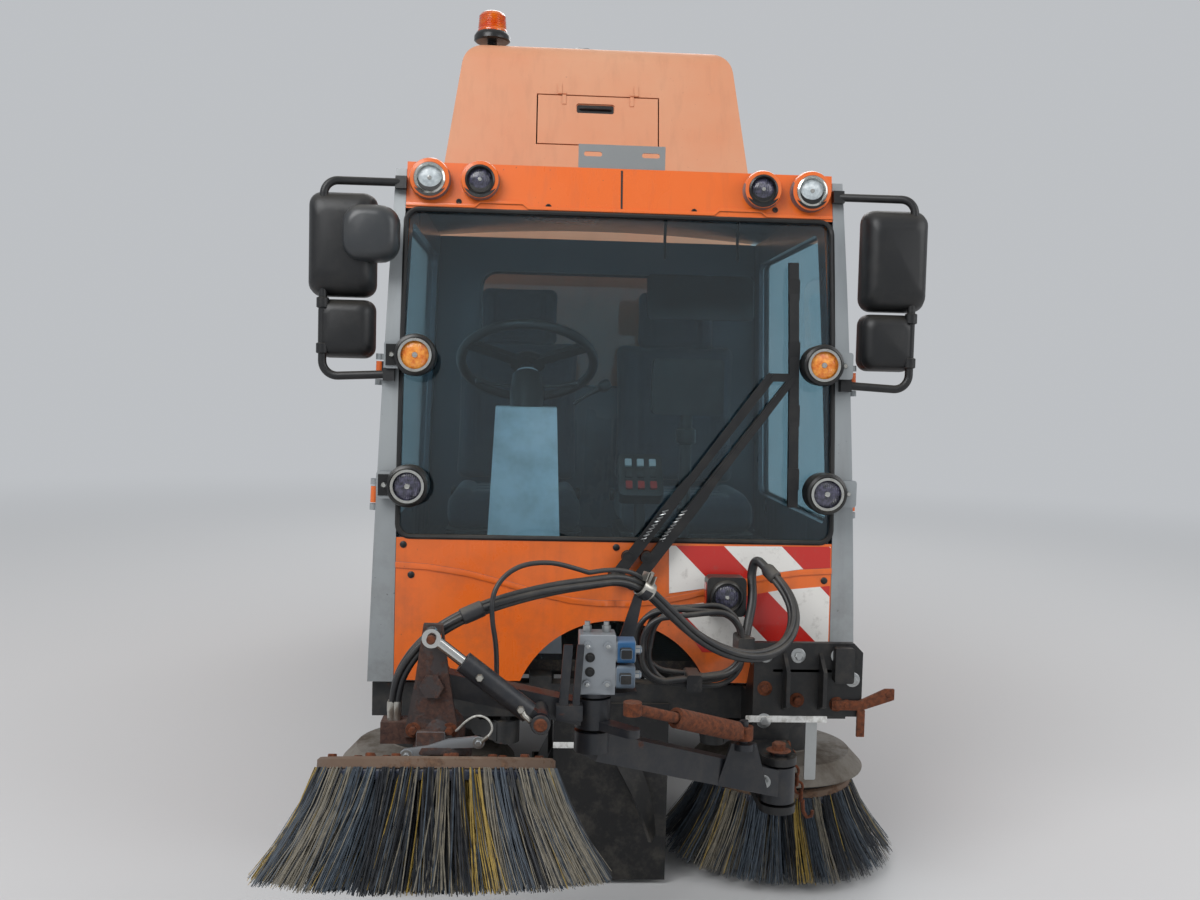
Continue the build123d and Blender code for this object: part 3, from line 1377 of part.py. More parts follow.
# Tail door of the hopper, hung from its top edge
tail_angle = atan2(tail_lean, tail_top - hopper_foot)
tail_face = Plane(
    origin=(0, hopper_rear + 2 + tail_door_thickness, hopper_foot),
    x_dir=(-1, 0, 0),
    z_dir=(0, cos(tail_angle), sin(tail_angle)),
)
with BuildPart() as hopper_door:
    extrude(hopper_section(0), amount=-3400)
    with BuildSketch(Plane.YZ):
        with BuildLine():
            Polyline((tail_plane_y + 2, tail_top + 12), (hopper_rear + 2, hopper_foot),
                     (hopper_rear + 2 + tail_door_thickness, hopper_foot),
                     (tail_plane_y + 2 + tail_door_thickness, tail_top + 12), close=True)
        make_face()
    extrude(amount=800, both=True, mode=Mode.INTERSECT)
    # Pressed ribs, latch hooks at the foot, and the hinge's straps over the top edge
    with BuildSketch(tail_face):
        with Locations(*[(x, 760) for x in (-330.0, 330.0)]):
            RectangleRounded(70, 1160, 20)
        with Locations((0, 420), (0, 1000)):
            Rectangle(640, 70)
        with Locations(*[(x, 40) for x in (-480.0, 480.0)]):
            RectangleRounded(60, 110, 12)
    extrude(amount=22)
    for x in tail_hinge_x:
        with BuildSketch(Plane.YZ.offset(x)):
            with BuildLine():
                Polyline((tail_hinge_y - 10, tail_hinge_z - 8), (tail_hinge_y + 12, tail_hinge_z - 4),
                         (tail_plane_y + 40, tail_top - 60), (tail_plane_y + 20, tail_top - 60), close=True)
            make_face()
            with Locations((tail_hinge_y, tail_hinge_z)):
                Circle(14)
        extrude(amount=10, both=True)
        with BuildSketch(Plane.YZ.offset(x)):
            with Locations((tail_hinge_y, tail_hinge_z)):
                Circle(8 + running)
        extrude(amount=40, both=True, mode=Mode.SUBTRACT)

# Beacon on a short stem at the hood's right front
beacon_place = (-425.0, hopper_front + 300)
with BuildPart() as beacon:
    with BuildSketch(Plane.XY.offset(hood_top)):
        with Locations(beacon_place):
            Circle(18)
    extrude(amount=34)
    with BuildSketch(Plane.XY.offset(hood_top + 30)):
        with Locations(beacon_place):
            Circle(72)
    extrude(amount=36)
    with BuildSketch(Plane.XY.offset(hood_top + 66)):
        with Locations(beacon_place):
            Circle(58)
    extrude(amount=84, taper=5)

# Lift cylinders of the hopper, one each side of the rails
base_y, base_z = lift_base
lift_length = hypot(eye_y - base_y, eye_z - base_z)
with BuildPart() as lift_cylinder_barrels:
    for sign in (-1, 1):
        start = (sign * lift_x, base_y, base_z)
        end = (sign * lift_x, eye_y, eye_z)
        with BuildSketch(Plane.YZ.offset(sign * lift_x)):
            with Locations(lift_base):
                Circle(30)
        extrude(amount=20, both=True)
        with BuildSketch(cylinder_plane(start, end)):
            Circle(34)
        extrude(amount=lift_length - 36)
        with BuildSketch(cylinder_plane(start, end).offset(36)):
            Circle(26)
        extrude(amount=lift_length, mode=Mode.SUBTRACT)
        with BuildSketch(Plane.YZ.offset(sign * lift_x)):
            with Locations(lift_base):
                Circle(16 + running)
        extrude(amount=40, both=True, mode=Mode.SUBTRACT)

with BuildPart() as lift_cylinder_rods:
    for sign in (-1, 1):
        start = (sign * lift_x, base_y, base_z)
        end = (sign * lift_x, eye_y, eye_z)
        with BuildSketch(cylinder_plane(start, end).offset(40)):
            Circle(24)
        extrude(amount=lift_length - 40)
        with BuildSketch(Plane.YZ.offset(sign * lift_x)):
            with Locations(lift_eye):
                Circle(26)
        extrude(amount=18, both=True)
        with BuildSketch(Plane.YZ.offset(sign * lift_x)):
            with Locations(lift_eye):
                Circle(14)
        extrude(amount=26, both=True)

pieces = {
    "chassis_frame": chassis_frame,
    "axles": axles,
    "knuckle_left": knuckle_left,
    "engine": engine,
    "side_tanks": side_tanks,
    "rear_bumper": rear_bumper,
    "suction_mouth": suction_mouth,
    "guards_and_flaps": guards_and_flaps,
    "cab_floor": cab_floor,
    "cab_front_panel": cab_front_panel,
    "cab_pillars": cab_pillars,
    "cab_windows": cab_windows,
    "cab_roof": cab_roof,
    "cab_rear_wall": cab_rear_wall,
    "door_left": door_left,
    "door_glass_left": door_glass_left,
    "seats": seats,
    "dashboard": dashboard,
    "steering_wheel": steering_wheel,
    "wiper": wiper,
    "mirrors": mirrors,
    "lamps": lamps,
    "roof_bracket": roof_bracket,
    "arm_bracket": arm_bracket,
    "swing_beam": swing_beam,
    "valve_block": valve_block,
    "brush_arm": brush_arm,
    "tilt_head": tilt_head,
    "front_brush": front_brush_rotor,
    "side_carrier_left": side_carrier_left,
    "side_arm_left": side_arm_left,
    "side_brush_left": side_brush_left,
    "hopper_shell": hopper_shell,
    "hopper_subframe": hopper_subframe,
    "arm_hoses": arm_hoses,
    "beam_hoses": beam_hoses,
    "hose_coil": hose_coil,
    "hood_hatch": hood_hatch,
    "hopper_door": hopper_door,
    "beacon": beacon,
    "lift_cylinder_barrels": lift_cylinder_barrels,
    "lift_cylinder_rods": lift_cylinder_rods,
}
pieces.update(wheels)
pieces.update(arm_cylinders)

# The right side's pieces mirror the left side's
for label in [label for label in pieces if label.endswith("_left")]:
    with BuildPart() as twin:
        mirror(pieces[label].part, about=Plane.YZ)
    pieces[label.replace("_left", "_right")] = twin

for label, piece in pieces.items():
    piece.part.label = label
    export_step(piece.part, f"parts/{label}.step")
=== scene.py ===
import math
import random
import bpy
import bmesh
from mathutils import Matrix, Vector


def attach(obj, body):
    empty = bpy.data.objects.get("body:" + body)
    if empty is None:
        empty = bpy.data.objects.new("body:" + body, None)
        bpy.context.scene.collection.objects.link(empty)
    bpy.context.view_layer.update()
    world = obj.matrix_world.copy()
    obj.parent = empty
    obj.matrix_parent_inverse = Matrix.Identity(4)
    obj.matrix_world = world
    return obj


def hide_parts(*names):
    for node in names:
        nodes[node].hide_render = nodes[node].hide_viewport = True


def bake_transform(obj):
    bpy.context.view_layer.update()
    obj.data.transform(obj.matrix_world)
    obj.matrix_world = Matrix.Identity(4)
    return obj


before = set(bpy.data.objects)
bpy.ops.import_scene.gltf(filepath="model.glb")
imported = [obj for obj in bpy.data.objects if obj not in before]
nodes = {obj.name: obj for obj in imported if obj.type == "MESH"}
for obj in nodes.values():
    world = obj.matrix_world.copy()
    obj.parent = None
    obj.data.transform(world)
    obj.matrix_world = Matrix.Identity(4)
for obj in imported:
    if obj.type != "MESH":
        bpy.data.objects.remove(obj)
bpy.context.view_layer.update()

# Studio: a wide pale floor that fades into an even sky, and soft lamps from above, the front and both sides.
# The sweeper was photographed in daylight from the front and a little to its right.


def placed(name, data):
    """A new object of the scene, with its mesh, lamp, curve or camera."""
    made = bpy.data.objects.new(name, data)
    bpy.context.scene.collection.objects.link(made)
    return made


def add(kind, feeds, **settings):
    """A new shader node in the tree of the outputs that feed it; feeds gives its sockets or their values."""
    tree = next(value.id_data for value in feeds.values() if isinstance(value, bpy.types.NodeSocket))
    made = tree.nodes.new("ShaderNode" + kind)
    for label, value in settings.items():
        setattr(made, label, value)
    for socket, value in feeds.items():
        if isinstance(value, bpy.types.NodeSocket):
            tree.links.new(value, made.inputs[socket])
        else:
            made.inputs[socket].default_value = value
    return made


def blend_of(share, first, second):
    """Two colours mixed by a share."""
    made = add("Mix", {0: share, 6: first, 7: second}, data_type="RGBA")
    return made.outputs[2]


def new_finish(name, **fixed):
    """A material with its values set on the shader's own sockets."""
    material = bpy.data.materials.new(name)
    material.use_nodes = True
    shader = material.node_tree.nodes["Principled BSDF"]
    for socket, value in fixed.items():
        shader.inputs[socket.replace("_", " ")].default_value = value
    return material, shader


def place_on(shader):
    """Where a point of the surface lies, for the shader's textures."""
    return shader.id_data.nodes.new("ShaderNodeTexCoord").outputs["Object"]


floor_reach = 70.0
floor_corners = 60
fade_start = 3.0
fade_end = 13.0
floor_mesh = bpy.data.meshes.new("studio_floor")
corner_turns = [2 * math.pi * k / floor_corners for k in range(floor_corners)]
floor_points = [(floor_reach * math.cos(turn), floor_reach * math.sin(turn), 0.0) for turn in corner_turns]
floor_mesh.from_pydata(floor_points, [], [tuple(range(floor_corners))])
studio_floor = placed("studio_floor", floor_mesh)
sky_tone = (0.93, 0.96, 1.0, 1)
sky_strength = 0.55
black = (0, 0, 0, 1)
floor_finish, shader = new_finish("studio_floor", Roughness=0.9, Specular_IOR_Level=0.0,
                                  Emission_Strength=sky_strength)
distance = add("VectorMath", {0: place_on(shader)}, operation="LENGTH").outputs["Value"]
fade = add("MapRange", {"Value": distance, "From Min": fade_start, "From Max": fade_end},
           interpolation_type="SMOOTHSTEP").outputs[0]
for socket, near_tone, far_tone in (("Base Color", (0.60, 0.60, 0.60, 1), black),
                                    ("Emission Color", black, sky_tone)):
    shader.id_data.links.new(blend_of(fade, near_tone, far_tone), shader.inputs[socket])
floor_mesh.materials.append(floor_finish)

world = bpy.data.worlds.new("studio")
bpy.context.scene.world = world
world.use_nodes = True
world.node_tree.nodes["Background"].inputs["Color"].default_value = sky_tone
world.node_tree.nodes["Background"].inputs["Strength"].default_value = sky_strength
for lamp_name, place, aim, size, power in (
    ("key_lamp", (-3.5, -5.5, 6.0), (0.0, 0.0, 1.2), 4.0, 330.0),
    ("fill_lamp", (5.5, -4.0, 4.0), (0.0, 0.0, 1.0), 4.0, 130.0),
    ("rear_lamp", (1.0, 6.0, 6.5), (0.0, 0.5, 1.2), 5.0, 200.0),
):
    lamp = bpy.data.lights.new(lamp_name, "AREA")
    lamp.size = size
    lamp.energy = power
    lamp_object = placed(lamp_name, lamp)
    lamp_object.location = place
    lamp_object.rotation_euler = (Vector(aim) - Vector(place)).to_track_quat("-Z", "Y").to_euler()

# Camera: at eye height in front of the cab, tipped down a little and turned to the right.
# The photograph was taken so, with the picture rolled by about a degree.
pitch = math.radians(3.2)
yaw = math.radians(3.4)
roll = math.radians(1.4)
forward = Vector((math.sin(yaw) * math.cos(pitch), math.cos(yaw) * math.cos(pitch), -math.sin(pitch)))
level = Vector((math.cos(yaw), -math.sin(yaw), 0.0))
down = forward.cross(level)
right = level * math.cos(roll) - down * math.sin(roll)
up = -(down * math.cos(roll) + level * math.sin(roll))
camera_data = bpy.data.cameras.new("camera")
camera_data.sensor_width = 36.0
camera_data.lens = 34.8
camera = placed("camera", camera_data)
turned_view = Matrix((right, up, -forward)).transposed().to_4x4()
camera.matrix_world = Matrix.Translation((-0.233, -4.539, 1.36)) @ turned_view
bpy.context.scene.camera = camera

# Hydraulic hoses: four rubber hoses run together from the front brush's motor over the elbow to a tie by
# the cab. They are gripped by a taped band on the brush arm and by the steel clamp ring on the swing beam.
hose_route = (
    (-0.512, -2.084, 0.640), (-0.512, -2.084, 0.708), (-0.482, -2.085, 0.772), (-0.430, -2.078, 0.826),
    (-0.358, -2.065, 0.866), (-0.272, -2.041, 0.893), (-0.178, -2.005, 0.911), (-0.085, -1.961, 0.918),
    (-0.025, -1.932613, 0.922516), (0.035, -1.901, 0.896), (0.096, -1.877, 0.838), (0.166, -1.853, 0.772),
    (0.246, -1.819, 0.727), (0.334, -1.773, 0.706), (0.412, -1.717, 0.726), (0.447, -1.661, 0.785),
    (0.430, -1.601, 0.850), (0.391, -1.549, 0.889),
)
band_place = Vector((-0.352, -2.063, 0.865))
clamp_place = Vector((0.035, -1.904, 0.895))
hose_radius = 0.0074
hose_lay = 0.0082
hose_twist = 2.2
hose_count = 4


def spline_line(route):
    """Points along the smooth line that a route's control points give."""
    curve = bpy.data.curves.new("route", "CURVE")
    curve.dimensions = "3D"
    spline = curve.splines.new("NURBS")
    spline.points.add(len(route) - 1)
    for point, place in zip(spline.points, route):
        point.co = (*place, 1.0)
    spline.order_u = 3
    spline.use_endpoint_u = True
    spline.resolution_u = 8
    carrier = placed("route", curve)
    bpy.context.view_layer.update()
    line = bpy.data.meshes.new_from_object(carrier)
    points = [vertex.co.copy() for vertex in line.vertices]
    bpy.data.objects.remove(carrier)
    bpy.data.curves.remove(curve)
    bpy.data.meshes.remove(line)
    return points


def frames_along(points):
    """Each point of a line with two directions across it that don't spin along the way."""
    side = None
    frames = []
    for k, point in enumerate(points):
        ahead = (points[min(k + 1, len(points) - 1)] - points[max(k - 1, 0)]).normalized()
        side = ahead.orthogonal() if side is None else side - ahead * side.dot(ahead)
        side.normalize()
        frames.append((point, side.copy(), ahead.cross(side)))
    return frames


def tube(finish_of, points, radius, sides=10):
    """Points, faces and finish of a closed tube along a line; radius may be a list, one for each point."""
    shape_points = []
    faces = []
    frames = frames_along(points)
    for k, (point, side, across) in enumerate(frames):
        size = radius[k] if isinstance(radius, list) else radius
        for turn in range(sides):
            angle = 2 * math.pi * turn / sides
            shape_points.append(point + (side * math.cos(angle) + across * math.sin(angle)) * size)
    for k in range(len(points) - 1):
        for turn in range(sides):
            after = (turn + 1) % sides
            faces.append((k * sides + turn, k * sides + after, (k + 1) * sides + after,
                          (k + 1) * sides + turn))
    faces.append(tuple(range(sides))[::-1])
    faces.append(tuple((len(points) - 1) * sides + turn for turn in range(sides)))
    return shape_points, faces, finish_of


def turned(finish_of, profile, centre, axis, steps=32, sides_at=0.0):
    """Points, faces and finish of a profile of radius and height pairs turned about an axis."""
    axis = Vector(axis).normalized()
    side = Vector((1, 0, 0)) if abs(axis.x) < 0.9 else Vector((0, 0, 1))
    side = (side - axis * side.dot(axis)).normalized()
    across = axis.cross(side)
    shape_points = []
    faces = []
    for radius, height in profile:
        for k in range(steps):
            angle = 2 * math.pi * k / steps + sides_at
            spoke = side * math.cos(angle) + across * math.sin(angle)
            shape_points.append(Vector(centre) + axis * height + spoke * radius)
    for row in range(len(profile) - 1):
        for k in range(steps):
            after = (k + 1) % steps
            faces.append((row * steps + k, row * steps + after, (row + 1) * steps + after,
                          (row + 1) * steps + k))
    return shape_points, faces, finish_of


def slab(finish_of, outline, thickness, origin, across=(1, 0, 0), rise=(0, 0, 1)):
    """Points, faces and finish of a flat shape thickened along its normal, forward where none is given."""
    across = Vector(across).normalized()
    rise = Vector(rise).normalized()
    normal = across.cross(rise)
    count = len(outline)
    near = [Vector(origin) + across * a + rise * b for a, b in outline]
    shape_points = near + [point + normal * thickness for point in near]
    faces = [tuple(range(count))[::-1], tuple(range(count, 2 * count))]
    for k in range(count):
        after = (k + 1) % count
        faces.append((k, after, count + after, count + k))
    return shape_points, faces, finish_of


def rounded(width, height, corner, steps=4, at_x=0.0, at_y=0.0):
    """Outline of a rectangle with round corners."""
    outline = []
    for quarter in range(4):
        sign_x = 1 if quarter in (0, 3) else -1
        sign_y = 1 if quarter in (0, 1) else -1
        for step in range(steps + 1):
            angle = math.pi / 2 * (quarter + step / steps)
            outline.append((at_x + sign_x * (width / 2 - corner) + corner * math.cos(angle),
                            at_y + sign_y * (height / 2 - corner) + corner * math.sin(angle)))
    return outline


def joined(name, shapes, body, bevel=0.0, sharp=35):
    """One piece out of shapes, each with its finish, fixed to the body that carries it."""
    finishes = []
    build = bmesh.new()
    for shape_points, faces, finish_of in shapes:
        if finish_of not in finishes:
            finishes.append(finish_of)
        made = [build.verts.new(point) for point in shape_points]
        for face in faces:
            corners = [made[corner] for corner in face]
            new_face = build.faces.new(corners)
            new_face.material_index = finishes.index(finish_of)
            new_face.smooth = True
    bmesh.ops.remove_doubles(build, verts=build.verts, dist=0.00001)
    bmesh.ops.recalc_face_normals(build, faces=build.faces)
    if bevel:
        edges = [edge for edge in build.edges
                 if len(edge.link_faces) == 2 and edge.calc_face_angle(0) > math.radians(sharp)]
        bmesh.ops.bevel(build, geom=edges, offset=bevel, segments=2, profile=0.6, affect="EDGES",
                        clamp_overlap=True)
        for face in build.faces:
            face.smooth = True
    mesh = bpy.data.meshes.new(name)
    build.to_mesh(mesh)
    build.free()
    mesh.set_sharp_from_angle(angle=math.radians(sharp))
    for finish_of in finishes:
        mesh.materials.append(finish_of)
    piece = placed(name, mesh)
    if body:
        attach(piece, body)
    return piece


def noise(where, scale, detail=3.0, rough=0.55):
    """A noise texture's value at a scale of so many spots to the metre."""
    made = add("TexNoise", {"Vector": where, "Scale": scale, "Detail": detail, "Roughness": rough})
    return made.outputs[0]


def span(value, low, high, to_low=0.0, to_high=1.0):
    """A value stretched from one span to another, kept within it."""
    feeds = {"Value": value, "From Min": low, "From Max": high, "To Min": to_low, "To Max": to_high}
    return add("MapRange", feeds).outputs[0]


def cloud(where, scale, detail, rough, low, high, to_low=0.0, to_high=1.0):
    """Cloudy patches: a noise cut off below one value and full above another."""
    return span(noise(where, scale, detail, rough), low, high, to_low, to_high)


def times(first, second):
    """Two masks multiplied, kept between 0 and 1."""
    return add("Math", {0: first, 1: second}, operation="MULTIPLY", use_clamp=True).outputs[0]


def plus(first, second):
    """Two masks added, kept between 0 and 1."""
    return add("Math", {0: first, 1: second}, operation="ADD", use_clamp=True).outputs[0]


def less(first, second):
    """One mask taken from another, kept between 0 and 1."""
    return add("Math", {0: first, 1: second}, operation="SUBTRACT", use_clamp=True).outputs[0]


def new_effect(name, inputs, outputs):
    """An empty node group with its sockets, for an effect that several finishes use."""
    group = bpy.data.node_groups.new(name, "ShaderNodeTree")
    for label, kind, value in inputs:
        socket = group.interface.new_socket(label, in_out="INPUT", socket_type="NodeSocket" + kind)
        socket.default_value = value
    for label, kind in outputs:
        group.interface.new_socket(label, in_out="OUTPUT", socket_type="NodeSocket" + kind)
    return group, group.nodes.new("NodeGroupInput").outputs, group.nodes.new("NodeGroupOutput").inputs


def tone(red, green, blue):
    """A colour as seen, given from 0 to 1, in the linear values that a shader takes."""
    return (*[channel / 12.92 if channel <= 0.04045 else ((channel + 0.055) / 1.055) ** 2.4
              for channel in (red, green, blue)], 1.0)


def surface(shader, colour, roughness=None, height=None, depth=0.0):
    """Feeds the shader its colour and, where they vary, its roughness and its small relief."""
    links = shader.id_data.links
    links.new(colour, shader.inputs["Base Color"])
    if roughness is not None:
        links.new(roughness, shader.inputs["Roughness"])
    if height is not None:
        bump = add("Bump", {"Height": height, "Distance": depth})
        links.new(bump.outputs[0], shader.inputs["Normal"])


def marked(name, marks, clean, soiled, smooth, dull, **fixed):
    """A finish with one kind of mark on it, which changes its colour and its roughness together."""
    material, shader = new_finish(name, **fixed)
    mask = cloud(place_on(shader), *marks)
    surface(shader, blend_of(mask, tone(*clean), tone(*soiled)), span(mask, 0.0, 1.0, smooth, dull))
    return material


def worn(name, group, values, depth, **fixed):
    """A material whose colour, roughness and small relief come from one effect."""
    material, shader = new_finish(name, **fixed)
    tree = material.node_tree
    effect = tree.nodes.new("ShaderNodeGroup")
    effect.node_tree = group
    for socket, value in values.items():
        effect.inputs[socket].default_value = tone(*value) if isinstance(value, tuple) else value
    surface(shader, effect.outputs["Colour"], effect.outputs["Roughness"], effect.outputs["Height"], depth)
    if "Metallic" in effect.outputs:
        tree.links.new(effect.outputs["Metallic"], shader.inputs["Metallic"])
    return material


# Rubber and moulded plastic, on the hoses and then on every moulded or pressed part of the sweeper.
# It has a fine pebbled grain, scuffs that lighten it, and dust that lies on top and low down.
grained, given, result = new_effect(
    "grained",
    [("Base", "Color", tone(0.1, 0.1, 0.1)), ("Dust colour", "Color", tone(0.55, 0.52, 0.47)),
     ("Dust", "Float", 0.3), ("Grain", "Float", 900.0), ("Gloss", "Float", 0.45)],
    [("Colour", "Color"), ("Roughness", "Float"), ("Height", "Float")],
)
where = grained.nodes.new("ShaderNodeTexCoord").outputs
height_up = add("SeparateXYZ", {0: where["Object"]}).outputs[2]
facing_up = add("SeparateXYZ", {0: where["Normal"]}).outputs[2]
scuffs = cloud(where["Object"], 14.0, 6.0, 0.7, 0.48, 0.78)
low_down = span(height_up, 1.4, 0.1, 0.15, 0.75)
settled = span(facing_up, 0.35, 1.0, 0.0, 0.55)
dust_share = times(plus(times(scuffs, low_down), settled), given["Dust"])
coloured = blend_of(dust_share, given["Base"], given["Dust colour"])
grain = noise(where["Object"], given["Grain"], 2.0, 0.6)
grained.links.new(coloured, result["Colour"])
grained.links.new(plus(times(dust_share, 0.5), given["Gloss"]), result["Roughness"])
grained.links.new(plus(times(grain, 0.7), scuffs), result["Height"])


def plastic(name, base, dust, grain, gloss, depth, **fixed):
    """A grained plastic or rubber of one colour, with so much dust."""
    return worn(name, grained, {"Base": base, "Dust": dust, "Grain": grain, "Gloss": gloss}, depth, **fixed)


def coat(finish_of, *names):
    """Gives a finish to CAD nodes that keep their shape."""
    for name in names:
        nodes[name].data.materials[0] = finish_of


hose_rubber = plastic("hose_rubber", (0.125, 0.13, 0.14), 0.42, 700.0, 0.36, 0.0003, Specular_IOR_Level=0.5)
hose_tape = plastic("hose_tape", (0.16, 0.16, 0.17), 0.6, 300.0, 0.5, 0.0008)
crimp_steel = worn("crimp_steel", grained, {"Base": (0.70, 0.69, 0.66), "Dust": 0.8, "Grain": 500.0,
                                            "Gloss": 0.3, "Dust colour": (0.42, 0.33, 0.25)}, 0.0003,
                   Metallic=0.85)

hose_line = spline_line(hose_route)


def nearest(points, place):
    """Number of the point of a line that lies nearest a place."""
    return min(range(len(points)), key=lambda k: (points[k] - place).length)


band_at = nearest(hose_line, band_place)
clamp_at = nearest(hose_line, clamp_place)
hose_frames = frames_along(hose_line)
run_length = 0.0
twists = []
for k, point in enumerate(hose_line):
    run_length += (point - hose_line[max(k - 1, 0)]).length
    twists.append(run_length * hose_twist)
hose_ends = []
for strand in range(hose_count):
    strand_line = []
    for (point, side, across), twist in zip(hose_frames, twists):
        angle = 2 * math.pi * strand / hose_count + twist
        strand_line.append(point + (side * math.cos(angle) + across * math.sin(angle)) * hose_lay)
    for span_name, first, last, behind_body, ahead_body in (
        ("hose_to_motor", 0, band_at, "tilt_head", "brush_arm"),
        ("hose_over_elbow", band_at, clamp_at, "brush_arm", "swing_beam"),
        ("hose_to_tie", clamp_at, len(hose_line) - 1, "swing_beam", "chassis"),
    ):
        points = strand_line[first:last + 1]
        hose = joined(f"{span_name}_{strand + 1}", [tube(hose_rubber, points, hose_radius, 9)], None,
                      sharp=60)
        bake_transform(hose)
        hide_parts("beam_hoses" if span_name == "hose_to_tie" else "arm_hoses")
        hose_ends.append(points[0])

# Hose bands: cloth tape wound round the four hoses at the arm's crest, and again where they reach the cab.
# Each hose ends at the motor in a steel ferrule that is crimped on it.
band_width = 0.05
to_top = (0, 0, 1)
point = hose_line[band_at]
along = (hose_line[band_at + 1] - hose_line[band_at - 1]).normalized()
band_profile = [(0.0150, -band_width / 2), (0.0178, -band_width / 2 + 0.002), (0.0182, 0),
                (0.0178, band_width / 2 - 0.002), (0.0150, band_width / 2)]
joined("hose_band_arm", [turned(hose_tape, band_profile, point, along, 20)], "brush_arm")
point = hose_line[-1]
along = (hose_line[-1] - hose_line[-3]).normalized()
tie_profile = [(0.0150, -0.04), (0.0180, -0.036), (0.0184, -0.004), (0.0150, 0.004)]
joined("hose_band_tie", [turned(hose_tape, tie_profile, point, along, 20)], "chassis")
ferrule_profile = [(0.0062, -0.002), (0.0085, 0.0), (0.0085, 0.016), (0.0092, 0.018), (0.0092, 0.036),
                   (0.0080, 0.040), (0.0070, 0.040)]
ferrules = []
for strand in range(hose_count):
    base = hose_ends[3 * strand]
    ferrules.append(turned(crimp_steel, ferrule_profile, base, to_top, 12))
joined("hose_ferrules", ferrules, "tilt_head")

# Thin hose: a single rubber hose that loops up from its port on the brush arm and joins the bundle over the
# elbow. The steel clamp ring on the swing beam holds it and the four hoses, by two lugs and a bolt.
thin_route = (
    (-0.297, -2.075, 0.728), (-0.297, -2.075, 0.792), (-0.310, -2.087, 0.858), (-0.308, -2.075, 0.922),
    (-0.262, -2.047, 0.966), (-0.190, -2.014, 0.972), (-0.126, -1.984, 0.952), (-0.098, -1.969, 0.941),
)
thin_radius = 0.0055
thin_line = spline_line(thin_route)
thin_hose = joined("thin_hose", [tube(hose_rubber, thin_line, thin_radius, 9)], None, sharp=60)
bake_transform(thin_hose)
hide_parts("arm_hoses")
tail_line = spline_line((
    (-0.098, -1.969, 0.941), (-0.072, -1.957, 0.944), (-0.040, -1.943, 0.944), (-0.008, -1.929, 0.939),
    (0.018, -1.918, 0.928), (0.034, -1.912, 0.914),
))
thin_tail = joined("thin_hose_tail", [tube(hose_rubber, tail_line, thin_radius, 9)], "swing_beam", sharp=60)
along = (hose_line[clamp_at + 1] - hose_line[clamp_at - 1]).normalized()
clamp_ring = [(0.0195, -0.017), (0.0215, -0.017), (0.0222, -0.015), (0.0222, 0.015), (0.0215, 0.017),
              (0.0195, 0.017)]
clamp_bolt = [(0, 0.052), (0.0052, 0.052), (0.0062, 0.049), (0.0062, 0.020)]
clamp_shapes = [turned(crimp_steel, clamp_ring, clamp_place, along, 28),
                turned(crimp_steel, clamp_bolt, clamp_place, (0.25, -0.55, 0.80), 6)]
for offset in (-0.011, 0.011):
    lug = [(-0.012, 0.018), (0.012, 0.018), (0.012, 0.042), (-0.012, 0.042)]
    clamp_shapes.append(slab(crimp_steel, lug, 0.003, clamp_place + Vector((0, -0.006, 0)) + along * offset,
                             along.cross(to_top), (0.25, -0.35, 0.90)))
joined("hose_clamp", clamp_shapes, "swing_beam")
coat(hose_rubber, "hose_coil")

# Cab panels and doors: moulded skins in orange paint, dulled by sun in patches and grimy along their lower
# edges. Rain has drawn streaks down them, and stones have chipped the front.
painted, given, result = new_effect(
    "painted",
    [("Paint", "Color", tone(0.8, 0.4, 0.1)), ("Faded", "Color", tone(0.8, 0.5, 0.3)),
     ("Grime", "Color", tone(0.30, 0.26, 0.22)), ("Chip", "Color", tone(0.25, 0.2, 0.18)),
     ("Fade", "Float", 0.4), ("Dirt", "Float", 0.4), ("Chips", "Float", 0.3), ("Gloss", "Float", 0.3)],
    [("Colour", "Color"), ("Roughness", "Float"), ("Height", "Float")],
)
where = painted.nodes.new("ShaderNodeTexCoord").outputs
height_up = add("SeparateXYZ", {0: where["Object"]}).outputs[2]
facing_up = add("SeparateXYZ", {0: where["Normal"]}).outputs[2]
patches = cloud(where["Object"], 1.3, 5.0, 0.6, 0.38, 0.66)
fade_share = times(patches, given["Fade"])
base = blend_of(fade_share, given["Paint"], given["Faded"])
stretched = add("Mapping", {0: where["Object"], 3: (22.0, 22.0, 1.1)}).outputs[0]
streaks = cloud(stretched, 1.0, 4.0, 0.6, 0.52, 0.80)
splashes = cloud(where["Object"], 9.0, 6.0, 0.7, 0.45, 0.75)
low_down = span(height_up, 1.15, 0.50, 0.0, 1.0)
settled = span(facing_up, 0.75, 1.0, 0.0, 0.45)
grimed = plus(times(streaks, 0.35), times(splashes, low_down))
dirt_share = times(plus(grimed, times(settled, splashes)), given["Dirt"])
chip_spots = cloud(where["Object"], 95.0, 3.0, 0.5, 0.70, 0.74)
chip_areas = cloud(where["Object"], 5.0, 2.0, 0.5, 0.48, 0.58)
chip_share = times(times(chip_spots, chip_areas), given["Chips"])
coloured = blend_of(dirt_share, base, given["Grime"])
coloured = blend_of(chip_share, coloured, given["Chip"])
peel = noise(where["Object"], 420.0, 2.0, 0.5)
painted.links.new(coloured, result["Colour"])
dull = plus(times(dirt_share, 0.5), times(fade_share, 0.25))
painted.links.new(plus(dull, given["Gloss"]), result["Roughness"])
painted.links.new(less(times(peel, 0.2), chip_share), result["Height"])

